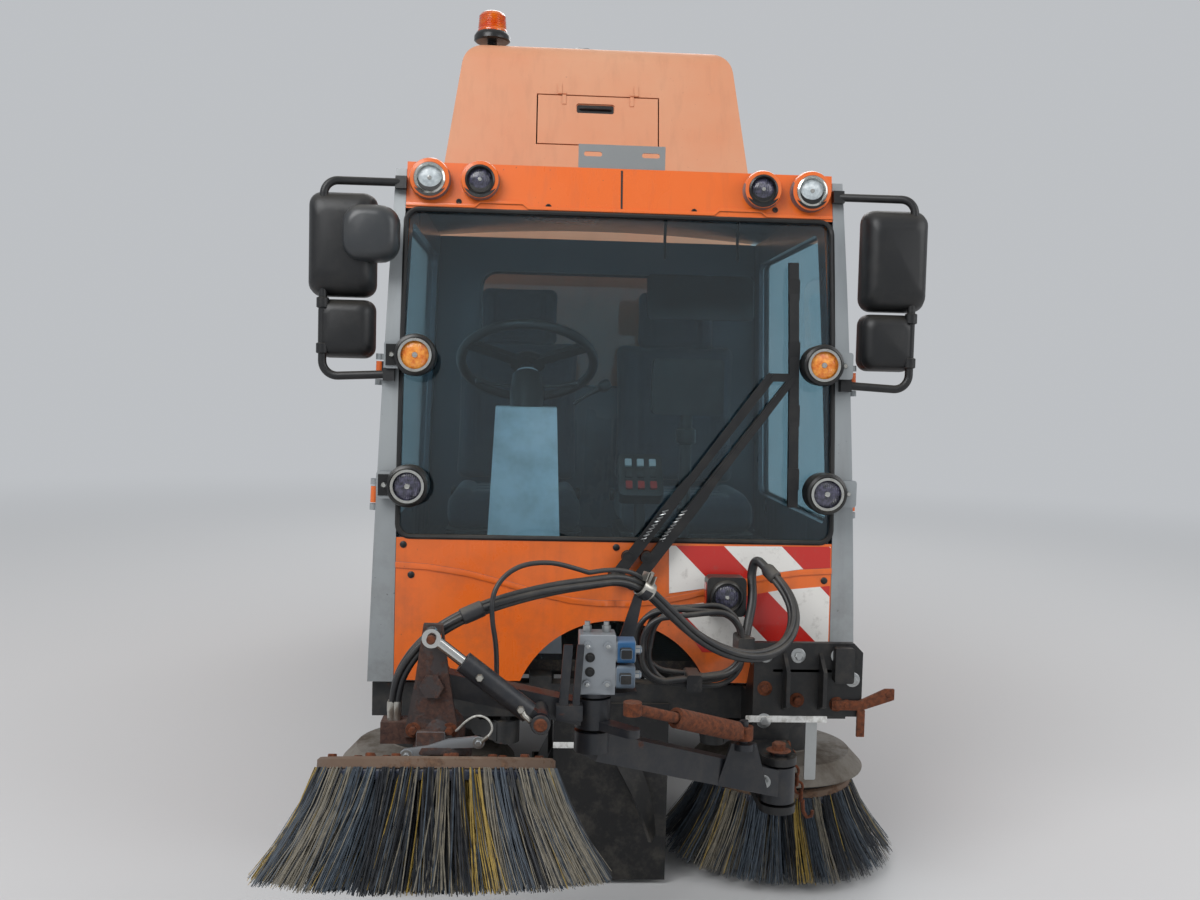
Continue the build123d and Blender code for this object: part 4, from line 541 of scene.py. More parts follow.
cab_orange = worn("cab_orange", painted,
                  {"Paint": (0.88, 0.40, 0.12), "Faded": (0.87, 0.47, 0.22), "Fade": 0.45, "Dirt": 0.55,
                   "Chips": 0.7, "Gloss": 0.26}, 0.0003, Coat_Weight=0.35, Coat_Roughness=0.12)
hood_orange = worn("hood_orange", painted,
                   {"Paint": (0.82, 0.55, 0.40), "Faded": (0.82, 0.63, 0.50), "Fade": 0.7, "Dirt": 0.35,
                    "Chips": 0.25, "Gloss": 0.42}, 0.0003, Coat_Weight=0.08)
pillar_silver = worn("pillar_silver", painted,
                     {"Paint": (0.58, 0.60, 0.61), "Faded": (0.66, 0.67, 0.67), "Fade": 0.5, "Dirt": 0.5,
                      "Chips": 0.5, "Gloss": 0.34}, 0.0002, Metallic=0.35)
coat(cab_orange, "cab_front_panel", "cab_roof", "door_left", "door_right", "cab_rear_wall")
coat(hood_orange, "hopper_shell", "hood_hatch", "hopper_door")
coat(pillar_silver, "cab_pillars")

cab_y = -1.469
front_radius = 6.5
sill_height = 0.56
cab_half_width = 0.655
side_lean = math.radians(1.67)


def front_skin(z, proud=0.0):
    """Y of the cab's curved front at a height, with a piece standing this far proud of it."""
    return cab_y + front_radius - math.sqrt((front_radius + proud) ** 2 - (z - sill_height) ** 2)


def on_front(finish_of, outline, thickness, lift=0.0):
    """Points, faces and finish of a thin shape laid on the cab's curved front."""
    count = len(outline)
    near = [Vector((x, front_skin(z, lift + thickness), z)) for x, z in outline]
    far = [Vector((x, front_skin(z, lift), z)) for x, z in outline]
    faces = [tuple(range(count)), tuple(range(count, 2 * count))[::-1]]
    for k in range(count):
        after = (k + 1) % count
        faces.append((k, count + k, count + after, after))
    return near + far, faces, finish_of


# Hazard stripes: two fields of red and white reflective sheet, stuck on the front panel's left half.
# One lies above the panel's fold and one below it, and both are scuffed down to a dull grey in spots.
stripe_start = 1.095
stripe_pitch = 0.29
stripes, shader = new_finish("hazard_stripes", Coat_Weight=0.3)
where = place_on(shader)
parts = add("SeparateXYZ", {0: where}).outputs
slant = add("Math", {0: parts[0], 1: parts[2]}, operation="ADD").outputs[0]
turns = add("Math", {0: add("Math", {0: slant, 1: stripe_start}, operation="SUBTRACT").outputs[0],
                     1: stripe_pitch}, operation="DIVIDE").outputs[0]
share = add("Math", {0: turns}, operation="FRACT").outputs[0]
red_share = span(share, 0.455, 0.450)
scuffed = cloud(where, 30.0, 6.0, 0.7, 0.55, 0.8, 0.0, 0.55)
striped = blend_of(red_share, tone(0.88, 0.87, 0.85), tone(0.74, 0.15, 0.12))
surface(shader, blend_of(scuffed, striped, tone(0.45, 0.40, 0.36)), span(scuffed, 0.0, 1.0, 0.32, 0.8),
        noise(where, 1400.0, 1.0, 0.5), 0.0001)
upper_field = [(0.145, 0.806), (0.250, 0.822), (0.430, 0.862), (0.582, 0.876), (0.582, 0.938),
               (0.142, 0.934)]
lower_field = [(0.190, 0.716), (0.238, 0.648), (0.582, 0.648), (0.582, 0.832), (0.440, 0.818),
               (0.280, 0.788), (0.168, 0.772)]
joined("hazard_fields", [on_front(stripes, field, 0.0010) for field in (upper_field, lower_field)], "chassis")

# Fold of the front panel: a raised lip, moulded in, that runs from the corners down over the arch.
# Small rubber plugs close the panel's and the roof band's fixing holes.
black_plastic = plastic("black_plastic", (0.065, 0.070, 0.078), 0.25, 850.0, 0.42, 0.0003)
fold_shapes = []
to_front = (0, -1, 0)
for sign in (-1, 1):
    fold = [(0.586, 0.873), (0.50, 0.868), (0.40, 0.853), (0.30, 0.829), (0.20, 0.801), (0.12, 0.784),
            (0.04, 0.777), (0, 0.777)]
    upper = [(sign * x, z + 0.008) for x, z in fold]
    lower = [(sign * x, z - 0.008) for x, z in reversed(fold)]
    outline = (upper + lower)[::sign]
    fold_shapes.append(on_front(cab_orange, outline, 0.0035))
joined("front_fold", fold_shapes, "chassis", bevel=0.0015)
plug_shapes = []
for x, z in ((-0.544, 0.846), (0.566, 0.846), (-0.566, 0.926), (0.0, 0.927)):
    profile = [(0, 0.004), (0.006, 0.004), (0.009, 0.002), (0.0095, 0.0)]
    plug_shapes.append(turned(black_plastic, profile, (x, front_skin(z), z), to_front, 16))
for x, z in ((-0.443, 1.848), (0.425, 1.854), (-0.20, 1.842), (0.20, 1.842)):
    profile = [(0, 0.0005), (0.0035, 0.0005), (0.004, 0.003), (0.007, 0.003), (0.008, 0.0)]
    plug_shapes.append(turned(black_plastic, profile, (x, front_skin(z), z), to_front, 16))
joined("front_plugs", plug_shapes, "chassis")

# Window rubbers: black extruded seals pressed round the windscreen, the rear window and the door panes.
# Each is one closed length of round-backed rubber.
seal_rubber = plastic("seal_rubber", (0.06, 0.06, 0.065), 0.3, 500.0, 0.5, 0.0004)


def ring_line(outline, lay):
    """A closed outline laid in space by a function, as a line that ends where it starts."""
    line = [Vector(lay(a, b)) for a, b in outline]
    return line + [line[0], line[1]]


seal_shapes = []
screen_outline = rounded(1.166, 0.877, 0.034, 6, 0.0, 1.3855)
dense = []
for (x0, z0), (x1, z1) in zip(screen_outline, screen_outline[1:] + screen_outline[:1]):
    for step in range(6):
        dense.append((x0 + (x1 - x0) * step / 6, z0 + (z1 - z0) * step / 6))
seal_shapes.append(tube(seal_rubber, ring_line(dense, lambda a, b: (a, front_skin(b) + 0.003, b)), 0.0075, 8))
rear_outline = rounded(0.86, 0.42, 0.06, 6, 0.0, 1.56)
seal_shapes.append(tube(seal_rubber, ring_line(rear_outline, lambda a, b: (a, -0.199, b)), 0.009, 8))
joined("screen_seals", seal_shapes, "chassis")


def cab_side(sign):
    """Foot of a cab side's front edge, with the directions up its leaning wall and out of it."""
    foot = Vector((sign * cab_half_width, cab_y, sill_height))
    rise = Vector((-sign * math.sin(side_lean), 0, math.cos(side_lean)))
    outward = Vector((sign * math.cos(side_lean), 0, math.sin(side_lean)))
    return foot, rise, outward


both_sides = (("left", 1), ("right", -1))
for side_name, sign in both_sides:
    foot, rise, outward = cab_side(sign)
    window = []
    for height in (0.42, 0.62, 0.84, 1.06, 1.252):
        edge = front_skin(sill_height + height, -0.070) - cab_y + 0.084
        window.append((edge, height))
    corners = [(window[0][0] + 0.04, 0.42), (window[0][0] + 0.008, 0.432),
               (window[0][0], 0.46)] + window[1:-1]
    corners += [(window[-1][0], 1.212), (window[-1][0] + 0.008, 1.24), (window[-1][0] + 0.04, 1.252),
                (1.108, 1.252), (1.14, 1.24), (1.148, 1.212), (1.148, 0.46), (1.14, 0.432), (1.108, 0.42)]
    line = [foot + Vector((0, 1, 0)) * a + rise * b + outward * -0.004 for a, b in corners]
    shapes = [tube(seal_rubber, line + line[:2], 0.0085, 8)]
    joined(f"door_seal_{side_name}", shapes, f"door_{side_name}")

# Window glass: toughened safety glass with a cool tint, in the windscreen, the rear window and the doors.
# A thin film of dust and wiped smears catches the light.
pane, shader = new_finish("window_glass", Roughness=0.02, IOR=1.45, Transmission_Weight=1.0, Metallic=0.0)
where = place_on(shader)
film = cloud(where, 3.0, 5.0, 0.6, 0.4, 0.8)
smears = cloud(where, 7.0, 6.0, 0.7, 0.5, 0.9, 0.015, 0.10)
surface(shader, blend_of(film, tone(0.78, 0.90, 0.94), tone(0.85, 0.93, 0.96)), smears)
coat(pane, "cab_windows", "door_glass_left", "door_glass_right")

# Roof band trim: the joint down the middle, where the band's two mouldings meet.
# A stepped lip runs along its lower edge, over the windscreen.
joint = [(-0.0025, 1.832), (0.0025, 1.832), (0.0025, 1.950), (-0.0025, 1.950)]
joined("band_joint", [on_front(black_plastic, joint, 0.0012)], "chassis")
lip = [(-0.585, 1.832), (-0.40, 1.832), (-0.385, 1.845), (-0.27, 1.845), (-0.255, 1.832), (0.255, 1.832),
       (0.27, 1.845), (0.385, 1.845), (0.40, 1.832), (0.585, 1.832)]
lip_outline = lip + [(x, z + 0.010) for x, z in reversed(lip)]
joined("band_lip", [on_front(cab_orange, lip_outline, 0.004)], "chassis", bevel=0.0015)

# Lamps: round units let into the roof band, and an amber and a clear one in black shells at each pillar.
# Each has a bezel ring, a domed glass with a bulb behind it, and a bracket or collar that holds it.
lamp_shell = plastic("lamp_shell", (0.075, 0.078, 0.082), 0.3, 900.0, 0.3, 0.0002)
coat(lamp_shell, "lamps")
bright_metal = marked("bright_metal", (60.0, 5.0, 0.6, 0.45, 0.8), (0.80, 0.80, 0.78), (0.60, 0.58, 0.54),
                      0.16, 0.45, Metallic=1.0)


def lens_finish(name, colour, second_colour, fineness):
    """A ribbed lens, cloudy with a second colour; fineness is how fine the ribs are."""
    material, shader = new_finish(name, Coat_Weight=0.6, Coat_Roughness=0.05, Roughness=0.18)
    where = place_on(shader)
    misted = cloud(where, 90.0, 4.0, 0.6, 0.35, 0.7)
    ribs = add("TexWave", {"Vector": where, "Scale": fineness, "Distortion": 0.0},
               bands_direction="X").outputs[1]
    surface(shader, blend_of(misted, colour, second_colour), None, ribs, 0.0006)
    return material


amber_lens = lens_finish("amber_lens", tone(0.85, 0.42, 0.08), tone(0.98, 0.66, 0.25), 90.0)
clear_lens = lens_finish("clear_lens", tone(0.66, 0.70, 0.72), tone(0.84, 0.87, 0.88), 110.0)
dark_lens = lens_finish("dark_lens", tone(0.12, 0.13, 0.16), tone(0.34, 0.33, 0.42), 60.0)
red_lens = lens_finish("red_lens", tone(0.55, 0.05, 0.05), tone(0.78, 0.12, 0.09), 120.0)


def round_lamp(place, radius, lens, bezel, depth=0.012):
    """Bezel ring, reflector and domed lens of a round lamp that looks forward."""
    ring = [(radius * 0.74, -0.002), (radius * 0.76, depth), (radius * 0.84, depth + 0.005),
            (radius * 0.95, depth + 0.002), (radius, depth * 0.3), (radius, -0.004)]
    dome = [(0, depth + 0.003), (radius * 0.30, depth + 0.002), (radius * 0.58, depth - 0.002),
            (radius * 0.75, depth - 0.007)]
    bulb = [(0, depth + 0.006), (radius * 0.12, depth + 0.005), (radius * 0.16, depth + 0.001)]
    return [turned(bezel, ring, place, to_front, 36), turned(lens, dome, place, to_front, 36),
            turned(bright_metal, bulb, place, to_front, 16)]


lamp_shapes = []
roof_lamp_z = 1.905
for x, lens, bezel, radius in ((-0.521, clear_lens, cab_orange, 0.055),
                               (-0.386, dark_lens, lamp_shell, 0.052),
                               (0.386, dark_lens, lamp_shell, 0.052),
                               (0.521, clear_lens, cab_orange, 0.055)):
    place = (x, front_skin(roof_lamp_z, 0.030), roof_lamp_z)
    collar = [(radius * 1.0, -0.034), (radius * 1.02, -0.006), (radius * 0.96, 0.004),
              (radius * 0.78, 0.006), (radius * 0.76, 0.0)]
    lamp_shapes.append(turned(cab_orange, collar, place, to_front, 36))
    lamp_shapes += round_lamp(place, radius * 0.80, lens,
                              lamp_shell if bezel is lamp_shell else bright_metal, 0.006)
for z, x, lens in ((1.427, 0.541, amber_lens), (1.086, 0.552, dark_lens)):
    for sign in (-1, 1):
        place = (sign * x, front_skin(z) - 0.062, z)
        lamp_shapes += round_lamp(place, 0.056, lens, lamp_shell, 0.010)
        ring = [(0.036, 0.010), (0.037, 0.016), (0.044, 0.016), (0.046, 0.010)]
        lamp_shapes.append(turned(bright_metal, ring, place, to_front, 36))
        block_x = sign * (x + 0.062)
        plate = rounded(0.044, 0.072, 0.008, 3)
        lamp_shapes.append(slab(pillar_silver, plate, 0.012, (block_x, front_skin(z) - 0.040, z),
                                (sign, 0, 0)))
        screw = [(0, 0.006), (0.005, 0.006), (0.007, 0.002), (0.008, 0)]
        lamp_shapes.append(turned(bright_metal, screw, (block_x, front_skin(z) - 0.052, z), to_front, 14))
lamp_shapes += round_lamp((0.288, cab_y - 0.075, 0.812), 0.045, dark_lens, lamp_shell, 0.004)
side_lens = rounded(0.034, 0.070, 0.008, 3)
lamp_shapes.append(slab(red_lens, side_lens, 0.004, (0.2345, cab_y - 0.046, 0.812), (0, 1, 0)))
joined("lamp_units", lamp_shapes, "chassis")

# Tail lamps: red, amber and clear lenses side by side on the rear bumper's two boxes.
# Each lens is a moulded block with rounded edges, clipped to the box.
tail_shapes = []
lamp_box_y = cab_y + 3.9595
for sign in (-1, 1):
    for shift, width, lens in ((-0.055, 0.085, red_lens), (0.030, 0.070, amber_lens),
                               (0.083, 0.022, clear_lens)):
        outline = rounded(width, 0.078, 0.008, 3, sign * (0.500 + shift), 0.5)
        tail_shapes.append(slab(lens, outline, 0.008, (0, lamp_box_y, 0)))
joined("tail_lamps", tail_shapes, "chassis", bevel=0.002)

# Beacon: an amber ribbed dome of clear plastic over a black rubber base, on a short stem.
# The stem is screwed to the top of the hood.
beacon_amber, shader = new_finish("beacon_amber", Roughness=0.12, Coat_Weight=0.7, Coat_Roughness=0.04,
                                  Transmission_Weight=0.35)
where = place_on(shader)
bright = cloud(where, 22.0, 3.0, 0.5, 0.35, 0.7)
surface(shader, blend_of(bright, tone(0.88, 0.30, 0.03), tone(0.98, 0.52, 0.10)))
beacon_at = Vector((-0.425, cab_y + 1.72, 2.70))
dome = [(0.0585, 0.066), (0.0595, 0.072)]
for row in range(6):
    height = 0.078 + row * 0.009
    dome += [(0.0575 - row * 0.0007, height), (0.0550 - row * 0.0007, height + 0.004),
             (0.0575 - row * 0.0007, height + 0.0085)]
dome += [(0.052, 0.134), (0.047, 0.142), (0.036, 0.148), (0.018, 0.1515), (0, 0.152)]
base = [(0.020, 0.0), (0.019, 0.030), (0.066, 0.031), (0.0725, 0.036), (0.0725, 0.052), (0.068, 0.060),
        (0.064, 0.066), (0.058, 0.0665)]
stem_base = [(0.034, 0.0), (0.034, 0.004), (0.022, 0.010), (0.019, 0.022)]
beacon_piece = joined("beacon_unit", [turned(beacon_amber, dome, beacon_at, to_top, 40),
                                      turned(lamp_shell, base, beacon_at, to_top, 40),
                                      turned(lamp_shell, stem_base, beacon_at, to_top, 24)], "hopper")
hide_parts("beacon")

# Steel of the brush arm, its brackets and the frame: welded plate under black paint, with road dirt on it.
# The paint has worn to brown rust in patches, and zinc and chromed parts use the same wear with bare metal.
rusted, given, result = new_effect(
    "rusted",
    [("Paint", "Color", tone(0.1, 0.1, 0.1)), ("Rust", "Color", tone(0.40, 0.22, 0.13)),
     ("Deep rust", "Color", tone(0.22, 0.13, 0.10)), ("Dust", "Color", tone(0.46, 0.42, 0.37)),
     ("Rusting", "Float", 0.4), ("Dusting", "Float", 0.4), ("Spots", "Float", 16.0), ("Gloss", "Float", 0.4),
     ("Bare", "Float", 0.0)],
    [("Colour", "Color"), ("Roughness", "Float"), ("Metallic", "Float"), ("Height", "Float")],
)
where = rusted.nodes.new("ShaderNodeTexCoord").outputs
facing_up = add("SeparateXYZ", {0: where["Normal"]}).outputs[2]
areas = noise(where["Object"], given["Spots"], 7.0, 0.68)
limit = add("Math", {0: 0.80, 1: times(given["Rusting"], 0.50)}, operation="SUBTRACT").outputs[0]
limit_top = add("Math", {0: limit, 1: 0.07}, operation="ADD").outputs[0]
rust_share = span(areas, limit, limit_top)
mottle = cloud(where["Object"], 90.0, 5.0, 0.7, 0.35, 0.7)
rust_colour = blend_of(mottle, given["Deep rust"], given["Rust"])
coloured = blend_of(rust_share, given["Paint"], rust_colour)
spatter = cloud(where["Object"], 26.0, 6.0, 0.72, 0.45, 0.78)
settled = span(facing_up, 0.5, 1.0, 0.25, 1.0)
dust_share = times(times(spatter, settled), given["Dusting"])
coloured = blend_of(dust_share, coloured, given["Dust"])
rusted.links.new(coloured, result["Colour"])
covered = plus(rust_share, dust_share)
rusted.links.new(plus(times(covered, 0.45), given["Gloss"]), result["Roughness"])
uncovered = less(1.0, covered)
rusted.links.new(times(uncovered, given["Bare"]), result["Metallic"])
pitted = noise(where["Object"], 240.0, 4.0, 0.7)
rusted.links.new(plus(times(pitted, times(rust_share, 0.8)), times(rust_share, 0.3)), result["Height"])


def steel(name, paint, rusting, dusting, gloss, depth, **more):
    """Worn metal of one paint, with so much rust and dust on it and so dull."""
    values = {"Paint": paint, "Rusting": rusting, "Dusting": dusting, "Gloss": gloss}
    for socket, value in more.items():
        values[socket.replace("_", " ")] = value
    return worn(name, rusted, values, depth)


arm_black = steel("arm_black", (0.115, 0.125, 0.145), 0.30, 0.55, 0.38, 0.0006)
plate_rust = steel("plate_rust", (0.22, 0.19, 0.19), 0.72, 0.45, 0.5, 0.0007, Rust=(0.36, 0.25, 0.21),
                   Deep_rust=(0.22, 0.16, 0.15))
bracket_black = steel("bracket_black", (0.075, 0.078, 0.085), 0.24, 0.5, 0.45, 0.0005)
frame_grey = steel("frame_grey", (0.13, 0.135, 0.14), 0.36, 0.7, 0.5, 0.0006, Spots=7.0)
rusty_iron = steel("rusty_iron", (0.30, 0.20, 0.15), 1.0, 0.3, 0.55, 0.0006, Rust=(0.47, 0.25, 0.14),
                   Deep_rust=(0.27, 0.15, 0.10))
zinc = steel("zinc", (0.66, 0.67, 0.67), 0.16, 0.5, 0.30, 0.0003, Rust=(0.50, 0.36, 0.25), Spots=60.0,
             Bare=0.85)
cast_alloy = steel("cast_alloy", (0.58, 0.60, 0.62), 0.22, 0.6, 0.42, 0.0004, Rust=(0.36, 0.34, 0.30),
                   Spots=40.0, Bare=0.55)
chrome_rod = steel("chrome_rod", (0.78, 0.78, 0.77), 0.15, 0.35, 0.16, 0.0002, Rust=(0.40, 0.28, 0.20),
                   Spots=50.0, Bare=1.0)
coat(zinc, "roof_bracket")
coat(bracket_black, "arm_bracket")
coat(arm_black, "swing_beam", "brush_arm", "tilt_cylinder_barrel")
coat(cast_alloy, "valve_block")
coat(plate_rust, "tilt_head")
coat(rusty_iron, "elbow_cylinder_barrel", "elbow_cylinder_rod")
coat(chrome_rod, "tilt_cylinder_rod", "lift_cylinder_rods")
coat(frame_grey, "lift_cylinder_barrels", "chassis_frame", "axles", "rear_bumper", "hopper_subframe",
     "knuckle_left", "knuckle_right", "side_carrier_left", "side_carrier_right", "side_arm_left",
     "side_arm_right", "suction_mouth", "engine")
coat(seal_rubber, "guards_and_flaps")
coat(black_plastic, "mirrors", "wiper")

# Brushes: tufts of flat plastic and steel bristles, set in rings in a board with eight pairs of bolts.
# The road has worn them to uneven lengths and splayed them outwards.
board_brown = steel("board_brown", (0.38, 0.30, 0.24), 0.55, 0.8, 0.7, 0.0008, Rust=(0.46, 0.35, 0.27),
                    Deep_rust=(0.27, 0.20, 0.16))
ring_blue = plastic("ring_blue", (0.17, 0.20, 0.27), 0.6, 400.0, 0.5, 0.0004)
bristle_finishes = []
for name, dark, light in (("bristle_grey", (0.17, 0.20, 0.235), (0.31, 0.35, 0.39)),
                          ("bristle_black", (0.08, 0.09, 0.105), (0.19, 0.20, 0.22)),
                          ("bristle_tan", (0.46, 0.38, 0.18), (0.66, 0.56, 0.28)),
                          ("bristle_straw", (0.36, 0.35, 0.32), (0.52, 0.49, 0.43))):
    bristle_finishes.append(marked(name, (70.0, 4.0, 0.6, 0.3, 0.7), dark, light, 0.45, 0.75,
                                   Specular_IOR_Level=0.35))


def brush(name, centre, axis, board, tips, depth, rings, tufts, count, colours, seed, splay):
    """Board, ring and bristles of a brush; its bristles end within the radius and depth of its tips."""
    random.seed(seed)
    axis = Vector(axis).normalized()
    side = Vector((1, 0, 0))
    across = axis.cross(side).normalized()
    side = across.cross(axis).normalized()
    mesh = bpy.data.meshes.new(name)
    places = []
    faces = []
    slots = []
    for ring in range(rings):
        share = ring / (rings - 1)
        for tuft in range(tufts):
            tuft_angle = 2 * math.pi * (tuft + 0.5 * (ring % 2)) / tufts + random.uniform(-0.012, 0.012)
            root_radius = board * (0.70 + 0.27 * share)
            colour = random.choices(range(4), colours)[0]
            lean = random.gauss(0, 0.035)
            worn_off = random.uniform(0.0, 0.05)
            for _ in range(count):
                slot = colour if random.random() < 0.72 else random.choices(range(4), colours)[0]
                start_radius = root_radius + random.uniform(-0.011, 0.011)
                start_angle = tuft_angle + random.uniform(-0.011, 0.011) / root_radius
                end_radius = tips * (0.76 + 0.19 * share) + random.gauss(0, 0.011)
                end_radius = min(end_radius, tips - 0.002)
                end_angle = start_angle + lean + random.gauss(0, splay)
                reach = depth * min(1.0 - worn_off + random.gauss(0, 0.018), 1.0)
                width = random.uniform(0.0011, 0.0017)
                bow = random.uniform(-0.02, 0.012)
                first = len(places)
                for step in range(4):
                    t = step / 3
                    radius = start_radius + (end_radius - start_radius) * (t ** 1.18) + bow * t * (1 - t)
                    angle = start_angle + (end_angle - start_angle) * t
                    spoke = side * math.cos(angle) + across * math.sin(angle)
                    sweep_way = across * math.cos(angle) - side * math.sin(angle)
                    point = centre + spoke * radius - axis * (0.012 + (reach - 0.012) * t)
                    taper = width * (1.0 - 0.35 * t)
                    places.append(point + sweep_way * taper)
                    places.append(point - sweep_way * taper)
                    places.append(point + spoke * taper * 1.2)
                for step in range(3):
                    low = first + 3 * step
                    for corner in range(3):
                        after = (corner + 1) % 3
                        faces.append((low + corner, low + after, low + 3 + after, low + 3 + corner))
                        slots.append(slot)
                faces.append((first + 9, first + 10, first + 11))
                slots.append(slot)
    mesh.from_pydata(places, [], faces)
    for finish_of in bristle_finishes:
        mesh.materials.append(finish_of)
    mesh.polygons.foreach_set("material_index", slots)
    bristles = placed(name + "_bristles", mesh)
    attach(bristles, name)
    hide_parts(name)
    plank = [(0.0, 0.008), (board - 0.006, 0.008), (board, 0.003), (board, -0.014), (board - 0.006, -0.017)]
    ring_low = [(board - 0.003, -0.016), (board - 0.001, -0.020), (board - 0.004, -0.036),
                (board - 0.02, -0.041), (board * 0.62, -0.041), (0.05, -0.03)]
    shapes = [turned(board_brown, plank, centre, axis, 64), turned(ring_blue, ring_low, centre, axis, 64)]
    bolt_head = [(0, 0.007), (0.008, 0.007), (0.0095, 0.005), (0.0095, 0.0)]
    for k in range(8):
        angle = math.radians(45 * k + 12)
        for radius in (board * 0.56, board * 0.88):
            spot = centre + (side * math.cos(angle) + across * math.sin(angle)) * radius + axis * 0.008
            shapes.append(turned(rusty_iron, bolt_head, spot, axis, 6))
    board_piece = joined(name + "_board", shapes, name)
    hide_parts(name)


side_brush_x = 0.510
side_brush_y = -1.199
tilt = math.radians(19)
brush_top = Vector((-0.417, -2.099, 0.552))
brush_axis = Vector((0, math.sin(tilt), math.cos(tilt)))
brush("front_brush", brush_top, brush_axis, 0.250, 0.372, 0.236, 4, 54, 30, (0.38, 0.24, 0.11, 0.27), 5,
      0.034)
# The side brushes take more black bristles and fewer pale ones than the front brush: partly the bristles' own
# mix, partly painted shade for the shade they stand in under the cab.
for side_name, sign in both_sides:
    brush(f"side_brush_{side_name}", Vector((sign * side_brush_x, side_brush_y, 0.240)), to_top, 0.215,
          0.345, 0.210, 3, 46, 26, (0.34, 0.42, 0.08, 0.16), 11 + sign, 0.034)

# Bracket of the brush arm: eight hex bolts with washers, welded ribs and a stop block on its black face.
# A white wear strip is screwed along its lower edge.


def hex_bolt(place, axis, size, finish_of, washer=True):
    """A hex head with a chamfered top on its washer; size is the width across flats."""
    shapes = []
    place = Vector(place)
    axis = Vector(axis).normalized()
    lift = 0.0
    if washer:
        lift = 0.0022
        ring = [(0, lift), (size * 0.95, lift), (size * 1.02, 0.0014), (size * 1.02, 0)]
        shapes.append(turned(finish_of, ring, place, axis, 20))
    head = [(0, lift + size * 0.62), (size * 0.46, lift + size * 0.62), (size * 0.577, lift + size * 0.54),
            (size * 0.577, lift)]
    shapes.append(turned(finish_of, head, place, axis, 6))
    return shapes


bolt_shapes = []
bracket_face = cab_y - 0.130
for x, z, finish_of in ((0.385, 0.672, zinc), (0.385, 0.585, rusty_iron), (0.470, 0.672, zinc),
                        (0.575, 0.672, zinc), (0.470, 0.555, rusty_iron), (0.575, 0.545, rusty_iron),
                        (0.615, 0.610, zinc), (0.385, 0.500, zinc)):
    bolt_shapes += hex_bolt((x, bracket_face, z), to_front, 0.019, finish_of)
joined("bracket_bolts", bolt_shapes, "chassis")

bracket_shapes = []
corner_block = rounded(0.050, 0.092, 0.006, 2, 0.586, 0.652)
bracket_shapes.append(slab(bracket_black, corner_block, 0.030, (0, bracket_face, 0)))
web = [(0.405, 0.628), (0.560, 0.628), (0.560, 0.636), (0.405, 0.636)]
bracket_shapes.append(slab(bracket_black, web, -0.001, (0, bracket_face, 0)))
for x in (0.430, 0.525):
    rib = [(0, 0.530), (-0.052, 0.550), (-0.052, 0.640), (0, 0.680)]
    bracket_shapes.append(slab(bracket_black, rib, 0.010, (x, bracket_face, 0), (0, 1, 0)))
joined("bracket_webs", bracket_shapes, "chassis", bevel=0.002)

white_strip = marked("white_strip", (40.0, 5.0, 0.7, 0.45, 0.75), (0.86, 0.86, 0.85), (0.52, 0.50, 0.46),
                     0.35, 0.75)
strip = rounded(0.214, 0.017, 0.002, 2, 0.444, 0.505)
joined("bracket_strip", [slab(white_strip, strip, 0.003, (0, bracket_face, 0))], "chassis", bevel=0.0008)

# Valve block: a cast alloy block with two solenoid coils on its side, each with its plug and nut.
# Cap screws and plugs close its face, and two unions stand on its top.
coil_blue = plastic("coil_blue", (0.13, 0.33, 0.50), 0.45, 700.0, 0.4, 0.0002)
coil_grey = plastic("coil_grey", (0.36, 0.42, 0.48), 0.5, 700.0, 0.45, 0.0002)
coil_shapes = []
elbow_x, elbow_y, block_foot = -0.085, cab_y - 0.540, 0.684
for rise, finish_of in ((0.038, coil_grey), (0.094, coil_blue)):
    outline = rounded(0.054, 0.050, 0.007, 4, elbow_y - 0.004, block_foot + rise)
    coil_shapes.append(slab(finish_of, outline, 0.040, (elbow_x + 0.049, 0, 0), (0, 1, 0)))
    coil_nut = [(0, 0.016), (0.006, 0.016), (0.0105, 0.012), (0.0105, 0.0)]
    spot = (elbow_x + 0.090, elbow_y - 0.004, block_foot + rise)
    coil_shapes.append(turned(zinc, coil_nut, spot, (1, 0, 0), 6))
    plug = rounded(0.026, 0.022, 0.004, 3, elbow_x + 0.068, block_foot + rise)
    coil_shapes.append(slab(black_plastic, plug, 0.022, (0, elbow_y - 0.030, 0)))
joined("valve_coils", coil_shapes, "swing_beam", bevel=0.0012)
valve_shapes = []
for dx in (-0.022, 0.022):
    for dz in (0.024, 0.108):
        valve_shapes += hex_bolt((elbow_x + 0.006 + dx, elbow_y - 0.039, block_foot + dz), to_front,
                                 0.009, zinc, False)
for dz in (0.050, 0.082):
    valve_plug = [(0, 0.004), (0.006, 0.004), (0.0075, 0.002), (0.0105, 0.002), (0.011, 0)]
    spot = (elbow_x - 0.010, elbow_y - 0.031, block_foot + dz)
    valve_shapes.append(turned(black_plastic, valve_plug, spot, to_front, 18))
for dx in (-0.016, 0.026):
    union = [(0.0, 0.024), (0.006, 0.024), (0.006, 0.016), (0.0095, 0.015), (0.0095, 0.004), (0.008, 0.0)]
    valve_shapes.append(turned(zinc, union, (elbow_x + dx, elbow_y, block_foot + 0.132), to_top, 6))
joined("valve_fittings", valve_shapes, "swing_beam")

